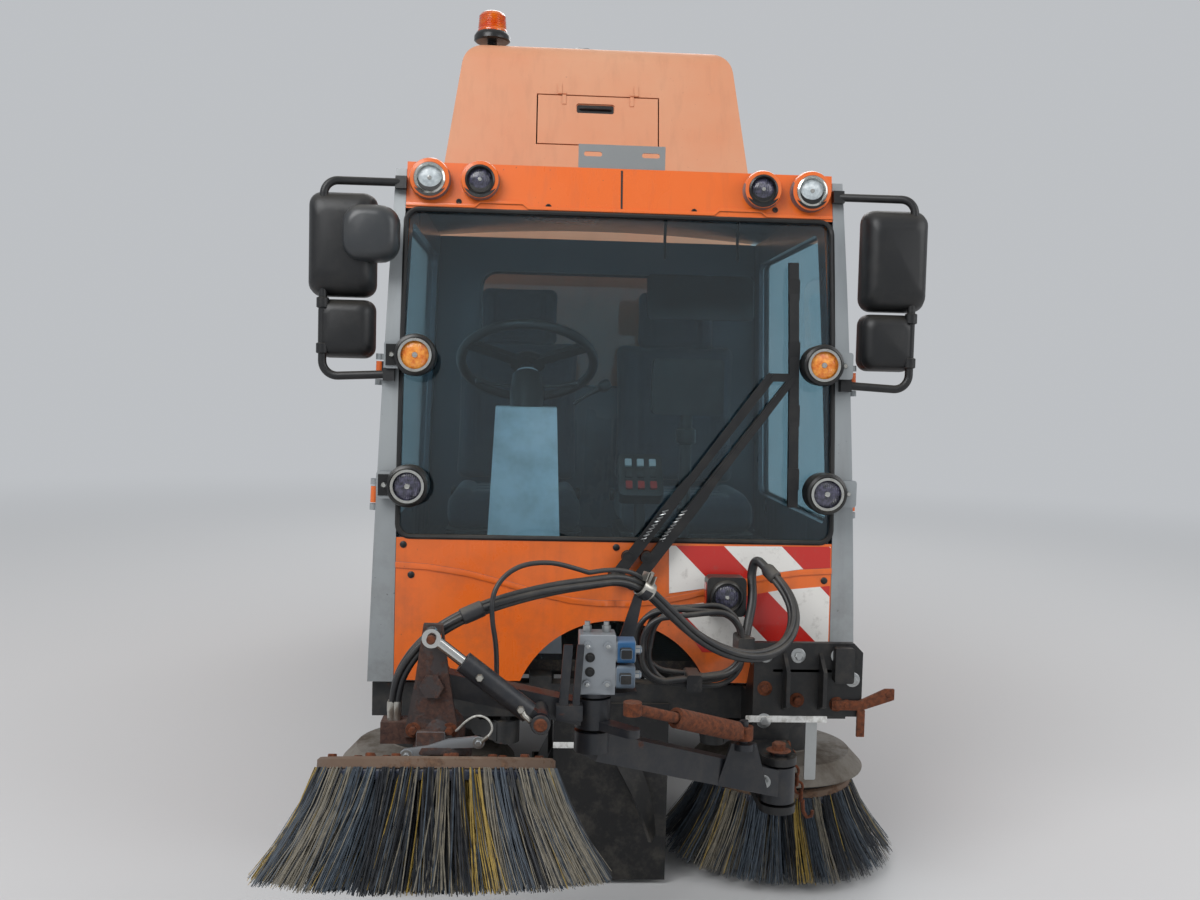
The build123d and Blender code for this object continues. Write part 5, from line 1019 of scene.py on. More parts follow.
# Pins and bolts of the arm: the swing pin's head, two bolts in the beam's side, and two in the tilt plate.
# The brush's motor has a stepped cap over it and a flange under the plate.
arm_shapes = hex_bolt((0.400, cab_y - 0.250, 0.460), to_top, 0.030, rusty_iron)
for x, y, z in ((0.352, cab_y - 0.316, 0.404), (0.300, cab_y - 0.369, 0.452)):
    arm_shapes += hex_bolt((x, y, z), (-0.45, -0.89, 0), 0.016, zinc)
joined("beam_bolts", arm_shapes, "swing_beam")
head_shapes = []
head_y = cab_y - 0.654
for x, z in ((-0.468, 0.628), (-0.392, 0.628)):
    head_shapes += hex_bolt((x, head_y, z), to_front, 0.016, rusty_iron)
joined("head_bolts", head_shapes, "tilt_head")
motor_top = brush_top + brush_axis * 0.087
cap = [(0, 0.030), (0.020, 0.030), (0.036, 0.022), (0.048, 0.010), (0.052, 0.0)]
flange = [(0.057, -0.074), (0.070, -0.074), (0.072, -0.070), (0.072, -0.060), (0.057, -0.058)]
motor_shapes = [turned(plate_rust, cap, motor_top, brush_axis, 28),
                turned(plate_rust, flange, motor_top, brush_axis, 32)]
joined("motor_cap", motor_shapes, "tilt_head")

# Upright bars of the elbow: two flat steel guides that lean a little, beside the valve block.
# They are welded to a foot plate on the brush arm.
bar_shapes = []
for x, width in ((-0.154, 0.020), (-0.127, 0.016)):
    outline = [(x - width / 2, 0.640), (x + width / 2, 0.640), (x + width / 2 + 0.010, 0.800),
               (x - width / 2 + 0.010, 0.800)]
    bar_shapes.append(slab(arm_black, outline, 0.012, (0, elbow_y - 0.052, 0)))
bar_foot = [(-0.168, 0.634), (-0.110, 0.634), (-0.110, 0.668), (-0.168, 0.668)]
bar_shapes.append(slab(arm_black, bar_foot, 0.032, (0, elbow_y - 0.034, 0)))
joined("elbow_guides", bar_shapes, "brush_arm", bevel=0.0015)

# Chain that holds the side brush's arm: seven welded links of rusty round bar with a bent hook at the end.
# It hangs under the bracket, beside a zinc-plated flat bar.
chain_shapes = []
link_top = Vector((0.452, cab_y - 0.134, 0.430))
for k in range(7):
    centre = link_top + Vector((0.006 * k, 0.0, -0.021 * k))
    loop = []
    for step in range(21):
        angle = 2 * math.pi * step / 20
        flat = math.cos(angle) * 0.0105
        rise = math.sin(angle) * 0.0155
        loop.append(centre + Vector((flat, 0, rise) if k % 2 else (0, flat, rise)))
    chain_shapes.append(tube(rusty_iron, loop, 0.0036, 6))
hook_top = link_top + Vector((0.042, 0, -0.150))
hook = [hook_top + Vector((x, 0, z)) for x, z in ((0, 0.012), (0, 0), (0.002, -0.018), (0.012, -0.034),
                                                  (0.024, -0.030), (0.027, -0.016))]
chain_shapes.append(tube(rusty_iron, hook, 0.0052, 8))
bar = rounded(0.030, 0.170, 0.004, 2, 0.512, 0.428)
chain_shapes.append(slab(zinc, bar, 0.008, (0, cab_y - 0.118, 0)))
joined("bracket_chain", chain_shapes, "chassis")

# Marker arm: a cranked steel bracket that stands out past the cab's left corner, rusty all over.
# It is bolted to the bracket's face, with a short upright leg below it.
arm_face = (0, bracket_face - 0.002, 0)
crank = [(0.560, 0.532), (0.640, 0.532), (0.724, 0.560), (0.724, 0.588), (0.700, 0.588), (0.632, 0.556),
         (0.560, 0.556)]
leg = [(0.628, 0.462), (0.648, 0.462), (0.648, 0.532), (0.628, 0.532)]
marker_shapes = [slab(rusty_iron, outline, 0.010, arm_face) for outline in (crank, leg)]
for x, z in ((0.600, 0.544), (0.708, 0.574)):
    marker_shapes += hex_bolt((x, bracket_face - 0.003, z), to_front, 0.014, rusty_iron)
joined("marker_bracket", marker_shapes, "chassis", bevel=0.0012)

# Side brushes' covers: a grey steel ring over each brush, painted and then worn by grit.
# The motor's drum above it has a joint band and six bolts in its lid.
# The ring's grey paint is set dark: partly its own dark grey, partly painted shade for the shade it stands in
# under the cab.
cover_grey = worn("cover_grey", painted, {"Paint": (0.40, 0.38, 0.35), "Faded": (0.52, 0.49, 0.45),
                                          "Fade": 0.6, "Grime": (0.30, 0.26, 0.22), "Dirt": 0.9,
                                          "Chips": 0.4, "Gloss": 0.6}, 0.0004)
for side_name, sign in both_sides:
    centre = (sign * side_brush_x, side_brush_y, 0)
    cover = [(0.2465, 0.268), (0.2475, 0.272), (0.2075, 0.3145), (0.116, 0.3245), (0.1135, 0.328)]
    band = [(0.1125, 0.400), (0.1165, 0.402), (0.1165, 0.418), (0.1125, 0.420)]
    shapes = [turned(cover_grey, cover, centre, to_top, 64), turned(frame_grey, band, centre, to_top, 48)]
    for k in range(6):
        angle = math.radians(60 * k)
        spot = (centre[0] + 0.085 * math.cos(angle), centre[1] + 0.085 * math.sin(angle), 0.470)
        shapes += hex_bolt(spot, to_top, 0.013, rusty_iron, False)
    joined(f"side_cover_{side_name}", shapes, f"side_arm_{side_name}")

# Torn rubber strip under the front: a narrow flap of the mouth's skirt that has torn loose and twisted.
# A white clamp bar holds the skirt's upper edge.
flap_steps = 14
flap_rows = []
flap_faces = []
for step in range(flap_steps + 1):
    t = step / flap_steps
    twist = math.radians(10 + 62 * t)
    centre = Vector((0.030 + 0.072 * t + 0.014 * math.sin(2.6 * t), cab_y - 0.012 - 0.050 * t,
                     0.372 - 0.212 * t))
    half = 0.034 - 0.006 * t
    across = Vector((math.cos(twist), math.sin(twist), 0))
    thick = Vector((-math.sin(twist), math.cos(twist), 0)) * 0.004
    flap_rows.append([centre - across * half - thick, centre + across * half - thick,
                      centre + across * half + thick, centre - across * half + thick])
flap_points = [corner for row in flap_rows for corner in row]
for step in range(flap_steps):
    for corner in range(4):
        after = (corner + 1) % 4
        flap_faces.append((4 * step + corner, 4 * step + after, 4 * step + 4 + after, 4 * step + 4 + corner))
flap_faces.append((3, 2, 1, 0))
flap_faces.append(tuple(4 * flap_steps + corner for corner in range(4)))
joined("torn_strip", [(flap_points, flap_faces, seal_rubber)], "chassis")
bar = rounded(0.195, 0.016, 0.002, 2, -0.060, 0.386)
joined("clamp_bar", [slab(white_strip, bar, 0.004, (0, cab_y + 0.0185, 0))], "chassis", bevel=0.0008)

# Mirrors: blow-moulded black heads, each with a dished back and a silvered glass towards the driver.
# They are clamped on the tubes at the pillars, and the kerb mirror at the right is paler.
mirror_glass = marked("mirror_glass", (12.0, 4.0, 0.6, 0.45, 0.8), (0.82, 0.84, 0.86), (0.70, 0.71, 0.71),
                      0.03, 0.20, Metallic=1.0)
pale_plastic = plastic("pale_plastic", (0.20, 0.21, 0.22), 0.35, 700.0, 0.32, 0.0002)
mirror_y = cab_y + 0.075


def mirror_head(x, z, width, height, corner, y_face, depth, finish_of):
    """A dished shell: rounded outlines that shrink as they go forward, and a glass in its rear mouth."""
    layers = ((1.0, 0.0), (1.015, -0.10), (1.0, -0.40), (0.93, -0.72), (0.80, -0.92), (0.60, -1.0))
    shape_points = []
    faces = []
    for scale, share in layers:
        outline = rounded(width * scale, height * scale, corner * min(scale, 1.0), 6, x, z)
        shape_points += [Vector((a, y_face + depth * share, b)) for a, b in outline]
    count = len(outline)
    for row in range(len(layers) - 1):
        for k in range(count):
            after = (k + 1) % count
            faces.append((row * count + k, row * count + after, (row + 1) * count + after,
                          (row + 1) * count + k))
    faces.append(tuple(range((len(layers) - 1) * count, len(layers) * count)))
    faces.append(tuple(range(count))[::-1])
    glass = rounded(width - 0.020, height - 0.020, max(corner - 0.008, 0.006), 6, x, z)
    return [(shape_points, faces, finish_of), slab(mirror_glass, glass, -0.0015, (0, y_face, 0))]


mirror_shapes = []
for sign in (-1, 1):
    mirror_shapes += mirror_head(sign * 0.744, 1.716, 0.176, 0.272, 0.034, mirror_y + 0.026, 0.084,
                                 black_plastic)
    mirror_shapes += mirror_head(sign * 0.732, 1.494, 0.150, 0.154, 0.030, mirror_y + 0.026, 0.070,
                                 black_plastic)
    for z in (1.560, 1.440, 1.650, 1.790):
        clamp = [(0.0135, -0.014), (0.0165, -0.012), (0.0165, 0.012), (0.0135, 0.014)]
        mirror_shapes.append(turned(black_plastic, clamp, (sign * 0.790, mirror_y - 0.030, z), to_top, 20))
mirror_shapes += mirror_head(-0.664, 1.742, 0.148, 0.148, 0.050, mirror_y - 0.030, 0.062, pale_plastic)
joined("mirror_heads", mirror_shapes, "chassis")

# Wiper: two arms with tapered covers on domed nuts, and between them a steel holder with the rubber blade.
# A coil spring at each foot presses the arm on the glass.
wiper_shapes = []
for foot, top in (((-0.002, 0.854), (0.405, 1.402)), ((0.044, 0.833), (0.470, 1.390))):
    way = (Vector(top) - Vector(foot)).normalized()
    wide = Vector((way.y, -way.x))
    arm_outline = []
    for t, half in ((0.0, 0.012), (0.03, 0.016), (0.42, 0.0145), (0.50, 0.0085), (0.98, 0.0065),
                    (1.0, 0.004)):
        arm_outline.append((Vector(foot) * (1 - t) + Vector(top) * t, half))
    left_edge = [tuple(spot - wide * half) for spot, half in arm_outline]
    right_edge = [tuple(spot + wide * half) for spot, half in reversed(arm_outline)]
    wiper_shapes.append(on_front(black_plastic, (left_edge + right_edge)[::-1], 0.0040, 0.0295))
    cover = [(0, 0.0370), (0.010, 0.0360), (0.0155, 0.0300), (0.0165, 0.0120), (0.0200, -0.0020)]
    spot = (foot[0], front_skin(foot[1]), foot[1])
    wiper_shapes.append(turned(black_plastic, cover, spot, to_front, 20))
blade = [Vector((0.470, front_skin(z) - 0.004, z)) for z in [1.047 + 0.0656 * k for k in range(11)]]
wiper_shapes.append(tube(seal_rubber, blade, 0.0055, 6))
for k in range(4):
    z = 1.12 + 0.17 * k
    wiper_shapes.append(slab(black_plastic, rounded(0.030, 0.060, 0.004, 2, 0.470, z), 0.010,
                             (0, front_skin(z) - 0.022, 0)))
for x in (0.030, 0.080):
    nut_cap = [(0, 0.016), (0.008, 0.015), (0.013, 0.010), (0.0155, 0.0), (0.018, -0.004)]
    spot = (x, front_skin(0.905) - 0.020, 0.905)
    wiper_shapes.append(turned(black_plastic, nut_cap, spot, to_front, 20))
    spring = []
    for step in range(60):
        t = step / 59
        base = Vector((x + 0.035 + 0.062 * t, front_skin(0.95) - 0.036, 0.950 + 0.084 * t))
        turn = 2 * math.pi * 9 * t
        spring.append(base + Vector((math.cos(turn) * 0.006, math.sin(turn) * 0.006, 0)))
    wiper_shapes.append(tube(zinc, spring, 0.0013, 5))
joined("wiper_parts", wiper_shapes, "chassis")

# Hood hatch: a wire grip in a recess of the hatch, with a thin black sheet at the back of the recess as
# painted shade.
# A small zinc-plated bracket with one bolt stands on the hood's top edge.
hatch_lean = math.atan(0.170 / 0.750)
hatch_at = Vector((0, cab_y + 1.420 + 0.170 * 0.440 / 0.750, 2.390))
hatch_up = Vector((0, math.sin(hatch_lean), math.cos(hatch_lean)))
hatch_out = Vector((0, -math.cos(hatch_lean), math.sin(hatch_lean)))
grip = []
for a, b in ((-0.072, 0.0), (-0.066, 0.004), (-0.050, 0.005), (0.030, 0.005), (0.046, 0.004), (0.052, 0.0)):
    grip.append(hatch_at + Vector((a, 0, 0)) + hatch_up * 0.050 + hatch_out * (b - 0.006))
hatch_shapes = [tube(black_plastic, grip, 0.0045, 8)]
# A thin black sheet at the back of the recess: painted shade, darkening the recess where shade falls.
recess_shade_sheet = rounded(0.144, 0.034, 0.008, 4, -0.010, 0.050)
hatch_shapes.append(slab(black_plastic, recess_shade_sheet, -0.001, hatch_at - hatch_out * 0.0078, (1, 0, 0),
                         hatch_up))
joined("hatch_grip", hatch_shapes, "hatch")
top_shapes = []
outline = [(-0.095, 2.700), (-0.020, 2.700), (-0.020, 2.728), (-0.032, 2.740), (-0.083, 2.740),
           (-0.095, 2.728)]
top_shapes.append(slab(zinc, outline, 0.006, (0, cab_y + 1.78, 0)))
top_shapes += hex_bolt((-0.058, cab_y + 1.774, 2.720), to_front, 0.012, zinc)
joined("hood_bracket", top_shapes, "hopper", bevel=0.001)

# Cab inside: a studded rubber mat on the floor and the deck, with grit trodden into it.
# The inner faces of the walls, the roof and the pillars are lined with dark moulded sheet.
floor_mat, shader = new_finish("floor_mat")
where = place_on(shader)
studs = add("TexVoronoi", {"Vector": where, "Scale": 42.0, "Randomness": 0.0}).outputs["Distance"]
grit = cloud(where, 60.0, 6.0, 0.75, 0.48, 0.75)
raised = span(studs, 0.30, 0.22, 0.0, 1.0)
surface(shader, blend_of(grit, tone(0.11, 0.11, 0.115), tone(0.36, 0.33, 0.28)),
        span(grit, 0.0, 1.0, 0.55, 0.9), raised, 0.002)
coat(floor_mat, "cab_floor")

cab_middle = (0.0, -0.83, 1.20)
for paint_finish in (cab_orange, pillar_silver):
    tree = paint_finish.node_tree
    shader = tree.nodes["Principled BSDF"]
    shape = tree.nodes.new("ShaderNodeTexCoord").outputs
    outward = add("VectorMath", {0: shape["Object"], 1: cab_middle}, operation="SUBTRACT").outputs[0]
    turned_in = add("VectorMath", {0: outward, 1: shape["Normal"]}, operation="DOT_PRODUCT").outputs[1]
    inner = span(turned_in, 0.0, -0.002)
    paint = shader.inputs["Base Color"].links[0].from_socket
    tree.links.new(blend_of(inner, paint, tone(0.29, 0.33, 0.37)), shader.inputs["Base Color"])

# Dashboard: a pale moulded console for the column, with a dark moulding on the passenger's side.
# A black screen with five keys stands on its own post beside the wheel.
console_shell, shader = new_finish("console_shell")
where = place_on(shader)
passenger_side = span(add("SeparateXYZ", {0: where}).outputs[0], 0.040, 0.042)
smeared = cloud(where, 11.0, 5.0, 0.65, 0.42, 0.78)
pale = blend_of(smeared, tone(0.84, 0.88, 0.91), tone(0.70, 0.73, 0.75))
dark = blend_of(smeared, tone(0.10, 0.105, 0.11), tone(0.24, 0.24, 0.24))
surface(shader, blend_of(passenger_side, pale, dark), span(smeared, 0.0, 1.0, 0.42, 0.68),
        noise(where, 800.0, 2.0, 0.6), 0.0003)
coat(console_shell, "dashboard")
coat(black_plastic, "steering_wheel")
screen_glass = marked("screen_glass", (24.0, 5.0, 0.7, 0.5, 0.8), (0.05, 0.055, 0.06), (0.12, 0.12, 0.12),
                      0.10, 0.35, Coat_Weight=0.6, Coat_Roughness=0.05)
screen_y = cab_y + 0.378
screen_x = 0.224
dash_shapes = [slab(black_plastic, rounded(0.204, 0.158, 0.012, 4, screen_x, 1.360), -0.010,
                    (0, screen_y, 0)), slab(screen_glass, rounded(0.176, 0.118, 0.005, 3, screen_x, 1.368),
                                            -0.003, (0, screen_y + 0.010, 0))]
for k in range(5):
    key = rounded(0.020, 0.010, 0.003, 3, screen_x + 0.034 * (k - 2), 1.2935)
    dash_shapes.append(slab(seal_rubber, key, -0.003, (0, screen_y + 0.010, 0)))
post_collar = [(0.0190, 1.190), (0.030, 1.195), (0.030, 1.235), (0.0190, 1.240)]
dash_shapes.append(turned(black_plastic, post_collar, (screen_x, cab_y + 0.352, 0), to_top, 24))
joined("screen_unit", dash_shapes, "chassis", bevel=0.0008)

# Switch box: a sloped pod on its own stalk beside the column, with three rows of rocker switches.
# Its stalk stands in a collar on the floor, and the drive lever beside the wheel has a moulded knob.
switch_red = plastic("switch_red", (0.72, 0.12, 0.08), 0.2, 500.0, 0.3, 0.0002)
switch_pale = plastic("switch_pale", (0.75, 0.76, 0.76), 0.2, 500.0, 0.3, 0.0002)
pod_across = Vector((1, 0, 0))
pod_rise = Vector((0, 0.64, 0.77)).normalized()
pod_place = Vector((0.091, cab_y + 0.330, 1.100))
pod_shapes = [slab(black_plastic, rounded(0.130, 0.150, 0.014, 4), -0.045, pod_place, pod_across, pod_rise)]
for row in range(3):
    for column in range(3):
        spot = pod_place + pod_across * (0.036 * (column - 1)) + pod_rise * (0.040 * (row - 1))
        finish_of = switch_red if row == 0 else (switch_pale if row == 2 else seal_rubber)
        pod_shapes.append(slab(finish_of, rounded(0.022, 0.028, 0.004, 3), 0.006, spot, pod_across, pod_rise))
stalk = [Vector((0.091, cab_y + y, z)) for y, z in ((0.350, 0.604), (0.350, 0.850), (0.348, 1.075))]
pod_shapes.append(tube(black_plastic, stalk, 0.017, 16))
stalk_collar = [(0.045, 0.0), (0.045, 0.006), (0.017, 0.010)]
pod_shapes.append(turned(black_plastic, stalk_collar, (0.091, cab_y + 0.350, 0.601), to_top, 24))
lever = [Vector((x, cab_y + y, z)) for x, y, z in ((-0.105, 0.50, 1.30), (-0.070, 0.50, 1.325),
                                                   (-0.022, 0.495, 1.352))]
pod_shapes.append(tube(black_plastic, lever, [0.006, 0.006, 0.009], 10))
knob = [(0, 0.042), (0.012, 0.040), (0.018, 0.030), (0.018, 0.010), (0.010, 0.0)]
pod_shapes.append(turned(black_plastic, knob, (-0.030, cab_y + 0.495, 1.348), (0.86, -0.09, 0.5), 20))
joined("switch_pod", pod_shapes, "chassis", bevel=0.0012)

# Wheel boss and column shroud: a dished cap over the wheel's hub, with a plain horn button.
# A moulded collar goes round the column below it and carries a stalk on each side.
boss_lean = math.radians(32)
boss_axis = Vector((0, math.sin(boss_lean), math.cos(boss_lean)))
boss_place = Vector((-0.250, cab_y + 0.545, 1.425))
boss = [(0, 0.022), (0.026, 0.021), (0.030, 0.018), (0.031, 0.012), (0.050, 0.009), (0.056, 0.002),
        (0.056, -0.008)]
joined("wheel_boss", [turned(black_plastic, boss, boss_place, boss_axis, 36)], "steering_wheel")
collar = [(0.0375, -0.196), (0.048, -0.190), (0.052, -0.110), (0.046, -0.052), (0.0375, -0.046)]
collar_shapes = [turned(black_plastic, collar, boss_place, boss_axis, 32)]
for sign in (-1, 1):
    root = boss_place - boss_axis * 0.088 + Vector((sign * 0.046, 0, 0))
    stalk = [root + Vector((sign * x, y, z)) for x, y, z in ((0, 0, 0), (0.055, -0.004, 0.004),
                                                             (0.110, -0.012, 0.014))]
    collar_shapes.append(tube(black_plastic, stalk, [0.006, 0.0055, 0.009], 10))
joined("column_shroud", collar_shapes, "chassis")

# Sun visor: a panel of smoked plastic that hangs over the passenger's side.
# Two bent rods of black plastic hold it from the roof.
smoked, shader = new_finish("smoked_panel", Transmission_Weight=0.35, Roughness=0.25)
where = place_on(shader)
dusty = cloud(where, 16.0, 4.0, 0.6, 0.4, 0.8)
surface(shader, blend_of(dusty, tone(0.12, 0.15, 0.17), tone(0.26, 0.28, 0.29)))
visor = rounded(0.343, 0.150, 0.018, 4, 0.297, 1.700)
visor_shapes = [slab(smoked, visor, 0.005, (0, cab_y + 0.215, 0), (1, 0, 0), (0, 0.25, 0.968))]
for x in (0.180, 0.414):
    hanger = [Vector((x, cab_y + y, z)) for y, z in ((0.638, 1.765), (0.660, 1.830), (0.640, 1.905))]
    visor_shapes.append(tube(black_plastic, hanger, 0.005, 8))
joined("sun_visor", visor_shapes, "chassis", bevel=0.001)

# Seats: a sprung seat each for driver and passenger, with a foam cushion, back and headrest in flecked
# fabric. Each pad is a crowned closed form with side bolsters and sewn channels, and sits on a moulded
# black shell.
seat_fabric, shader = new_finish("seat_fabric", Sheen_Weight=0.25, Sheen_Roughness=0.5)
where = place_on(shader)
warp = add("TexWave", {"Vector": where, "Scale": 190.0, "Distortion": 0.6}, bands_direction="X").outputs[1]
weft = add("TexWave", {"Vector": where, "Scale": 190.0, "Distortion": 0.6}, bands_direction="Z").outputs[1]
weave = times(warp, weft)
fleck = cloud(where, 420.0, 1.0, 0.4, 0.60, 0.66)
worn_seat = cloud(where, 7.0, 4.0, 0.6, 0.45, 0.8)
cloth = blend_of(fleck, tone(0.19, 0.21, 0.25), tone(0.34, 0.37, 0.42))
cloth = blend_of(times(worn_seat, 0.5), cloth, tone(0.28, 0.28, 0.28))
surface(shader, cloth, span(worn_seat, 0.0, 1.0, 0.88, 0.78), weave, 0.0008)


def seat_pad(name, centre, size, across, rise, round_off, crown, bolster, channels):
    """A cushion of a size across, upwards and through: crowned, with side bolsters and sewn channels."""
    across = Vector(across).normalized()
    rise = Vector(rise).normalized()
    out = across.cross(rise)
    half = Vector(size) / 2
    build = bmesh.new()
    bmesh.ops.create_cube(build, size=2.0)
    bmesh.ops.subdivide_edges(build, edges=build.edges, cuts=35, use_grid_fill=True)
    for vertex in build.verts:
        a, b, c = vertex.co
        spot = Vector((a * half.x, b * half.y, c * half.z))
        core = Vector([max(-(half[k] - round_off), min(half[k] - round_off, spot[k])) for k in range(3)])
        out_of_core = spot - core
        if out_of_core.length > 0:
            spot = core + out_of_core.normalized() * round_off
        if c > 0:
            swell = crown * (1 - a ** 4) * (1 - b ** 4)
            ridge = bolster * math.exp(-((abs(a) - 0.80) / 0.16) ** 2) * (1 - b ** 6)
            seam = math.exp(-((abs(a) - 0.60) / 0.022) ** 2)
            for channel in channels:
                if abs(a) < 0.60:
                    seam = max(seam, math.exp(-((b - channel) / 0.020) ** 2))
            spot.z += c * (swell + ridge - 0.009 * seam * (1 - b ** 8))
        spot.x *= 1 - 0.035 * (1 - abs(b) ** 2) * abs(a) ** 3
        spot.y *= 1 - 0.030 * (1 - abs(a) ** 2) * abs(b) ** 3
        vertex.co = Vector(centre) + across * spot.x + rise * spot.y + out * spot.z
    for face in build.faces:
        face.smooth = True
    mesh = bpy.data.meshes.new(name)
    build.to_mesh(mesh)
    build.free()
    mesh.materials.append(seat_fabric)
    pad = placed(name, mesh)
    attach(pad, "chassis")
    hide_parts("seats")


seat_spread = 0.285
back_rise = Vector((0, 0.0675, 0.485)).normalized()
for side_name, sign in (("driver", -1), ("passenger", 1)):
    seat_x = sign * seat_spread
    seat_pad(f"seat_cushion_{side_name}", (seat_x, cab_y + 0.885, 0.940), (0.440, 0.400, 0.120), (1, 0, 0),
             (0, 1, 0), 0.045, 0.008, 0.014, (-0.45, 0.05, 0.50))
    seat_pad(f"seat_back_{side_name}", (seat_x, cab_y + 1.155, 1.262), (0.430, 0.500, 0.078), (1, 0, 0),
             back_rise, 0.036, 0.006, 0.012, (-0.55, -0.20, 0.15, 0.50))
    seat_pad(f"headrest_{side_name}", (seat_x, cab_y + 1.184, 1.600), (0.278, 0.206, 0.070), (1, 0, 0),
             (0, 0.06, 1), 0.032, 0.004, 0.0, ())
seat_steel = []
knob = [(0.0, 0.018), (0.020, 0.016), (0.023, 0.010), (0.023, 0.0)]
for seat_x in (-seat_spread, seat_spread):
    pan = rounded(0.446, 0.404, 0.050, 5, seat_x, cab_y + 0.888)
    seat_steel.append(slab(black_plastic, pan, 0.048, (0, 0, 0.831), (1, 0, 0), (0, 1, 0)))
    shell_place = Vector((seat_x, cab_y + 1.196, 1.262))
    seat_steel.append(slab(black_plastic, rounded(0.400, 0.470, 0.060, 5), -0.012, shell_place, (1, 0, 0),
                           back_rise))
    for offset in (-0.055, 0.055):
        post = [Vector((seat_x + offset, cab_y + 1.178, 1.490)),
                Vector((seat_x + offset, cab_y + 1.184, 1.560))]
        seat_steel.append(tube(chrome_rod, post, 0.006, 10))
    for side in (-1, 1):
        spot = (seat_x + side * 0.21576, cab_y + 1.105, 0.965)
        seat_steel.append(turned(black_plastic, knob, spot, (side, 0, 0), 20))
joined("seat_shells", seat_steel, "chassis", bevel=0.002)

# Wheels: tubeless tyres with blocks in five ribs, grey with road dust, on pressed steel rims.
# Each rim has six nuts on its studs, a hub cap, a rolled lip and a rubber valve.
tyre_rubber, shader = new_finish("tyre_rubber")
where = place_on(shader)
road_dust = cloud(where, 22.0, 6.0, 0.7, 0.42, 0.72)
fine_dust = cloud(where, 300.0, 3.0, 0.6, 0.35, 0.75)
dirty = plus(times(road_dust, 0.55), times(fine_dust, 0.25))
surface(shader, blend_of(dirty, tone(0.115, 0.115, 0.12), tone(0.38, 0.35, 0.31)),
        span(dirty, 0.0, 1.0, 0.62, 0.92), fine_dust, 0.0004)

tyre_crown = 0.348
bead_radius = 0.1905
tread_half = 0.092
axle_height = 0.348
nut_circle = 0.083


def tyre_shape(finish_of, centre):
    """Points, faces and finish of a tyre, with blocks over its crown and two rings on each wall."""
    pitches = 56
    grooves = (-0.062, -0.021, 0.021, 0.062)
    crossings = [-tread_half]
    for groove in grooves:
        crossings += [groove - 0.0052, groove - 0.0042, groove + 0.0042, groove + 0.0052]
    crossings.append(tread_half)
    steps = []
    for pitch in range(pitches):
        steps += [pitch / pitches + share / pitches for share in (0.0, 0.03, 0.76, 0.79)]
    wall = [(0.1045, 0.331), (0.1100, 0.318), (0.1118, 0.304), (0.1118, 0.292), (0.1125, 0.290),
            (0.1125, 0.282), (0.1118, 0.280), (0.1100, 0.250), (0.1065, 0.228), (0.1070, 0.226),
            (0.1050, 0.214), (0.0965, 0.204), (0.0905, 0.1925), (0.0875, bead_radius)]
    rows = [(-across, radius) for across, radius in reversed(wall)]
    rows += [(across, None) for across in crossings]
    rows += [(across, radius) for across, radius in wall]
    points = []
    for number, step in enumerate(steps):
        angle = 2 * math.pi * step
        on_block = number % 4 in (1, 2)
        for row, (across, radius) in enumerate(rows):
            slant = 0.0
            if radius is None:
                in_groove = any(abs(across - groove) < 0.0048 for groove in grooves)
                radius = tyre_crown - 0.0045 * (across / tread_half) ** 2
                if in_groove:
                    radius -= 0.0095
                elif not on_block and abs(across) >= 0.020:
                    radius -= 0.0085
                slant = 0.020 * (abs(across) / tread_half) * (1 if across > 0 else -1)
            elif radius > 0.325 and not on_block:
                radius -= 0.006
            turn = angle + slant
            points.append(Vector(centre) + Vector((across, radius * math.sin(turn), radius * math.cos(turn))))
    count = len(rows)
    faces = []
    for k in range(len(steps)):
        after = (k + 1) % len(steps)
        for row in range(count - 1):
            faces.append((k * count + row, k * count + row + 1, after * count + row + 1, after * count + row))
    return points, faces, finish_of


wheel_paint = worn("wheel_paint", painted, {"Paint": (0.62, 0.63, 0.64), "Faded": (0.70, 0.70, 0.69),
                                            "Fade": 0.5, "Grime": (0.26, 0.21, 0.17), "Dirt": 1.0,
                                            "Chips": 0.6, "Chip": (0.34, 0.20, 0.12), "Gloss": 0.45},
                   0.0004)
for end_name, wheel_y in (("front", cab_y + 1.120), ("rear", cab_y + 3.070)):
    for side_name, sign in both_sides:
        centre = (sign * 0.535, wheel_y, axle_height)
        tyre = joined(f"tyre_{end_name}_{side_name}", [tyre_shape(tyre_rubber, centre)],
                      f"{end_name}_wheel_{side_name}", sharp=28)
        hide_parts(f"{end_name}_tyre_{side_name}")
        coat(wheel_paint, f"{end_name}_rim_{side_name}")
        nut_shapes = []
        for k in range(6):
            angle = math.radians(60 * k + 22.5)
            spot = (centre[0] + sign * 0.0141, wheel_y + nut_circle * math.sin(angle),
                    axle_height + nut_circle * math.cos(angle))
            nut_shapes += hex_bolt(spot, (sign, 0, 0), 0.021, rusty_iron)
            stud = [(0, 0.026), (0.0055, 0.026), (0.0066, 0.024), (0.0066, 0.013)]
            nut_shapes.append(turned(zinc, stud, spot, (sign, 0, 0), 12))
        cap = [(0, 0.0745), (0.020, 0.0735), (0.034, 0.0690), (0.0415, 0.0620), (0.0430, 0.0565)]
        nut_shapes.append(turned(frame_grey, cap, centre, (sign, 0, 0), 32))
        lip = [(0.1895, 0.0885), (0.1965, 0.0905), (0.1990, 0.0885), (0.1990, 0.0850), (0.1900, 0.0830)]
        nut_shapes.append(turned(wheel_paint, lip, centre, (sign, 0, 0), 64))
        valve_root = Vector((centre[0] + sign * 0.030, wheel_y + 0.170, axle_height))
        nut_shapes.append(tube(hose_rubber, [valve_root, valve_root + Vector((sign * 0.020, -0.006, 0)),
                                             valve_root + Vector((sign * 0.040, -0.009, 0))],
                               [0.0045, 0.004, 0.0048], 8))
        joined(f"wheel_nuts_{end_name}_{side_name}", nut_shapes, f"{end_name}_wheel_{side_name}")

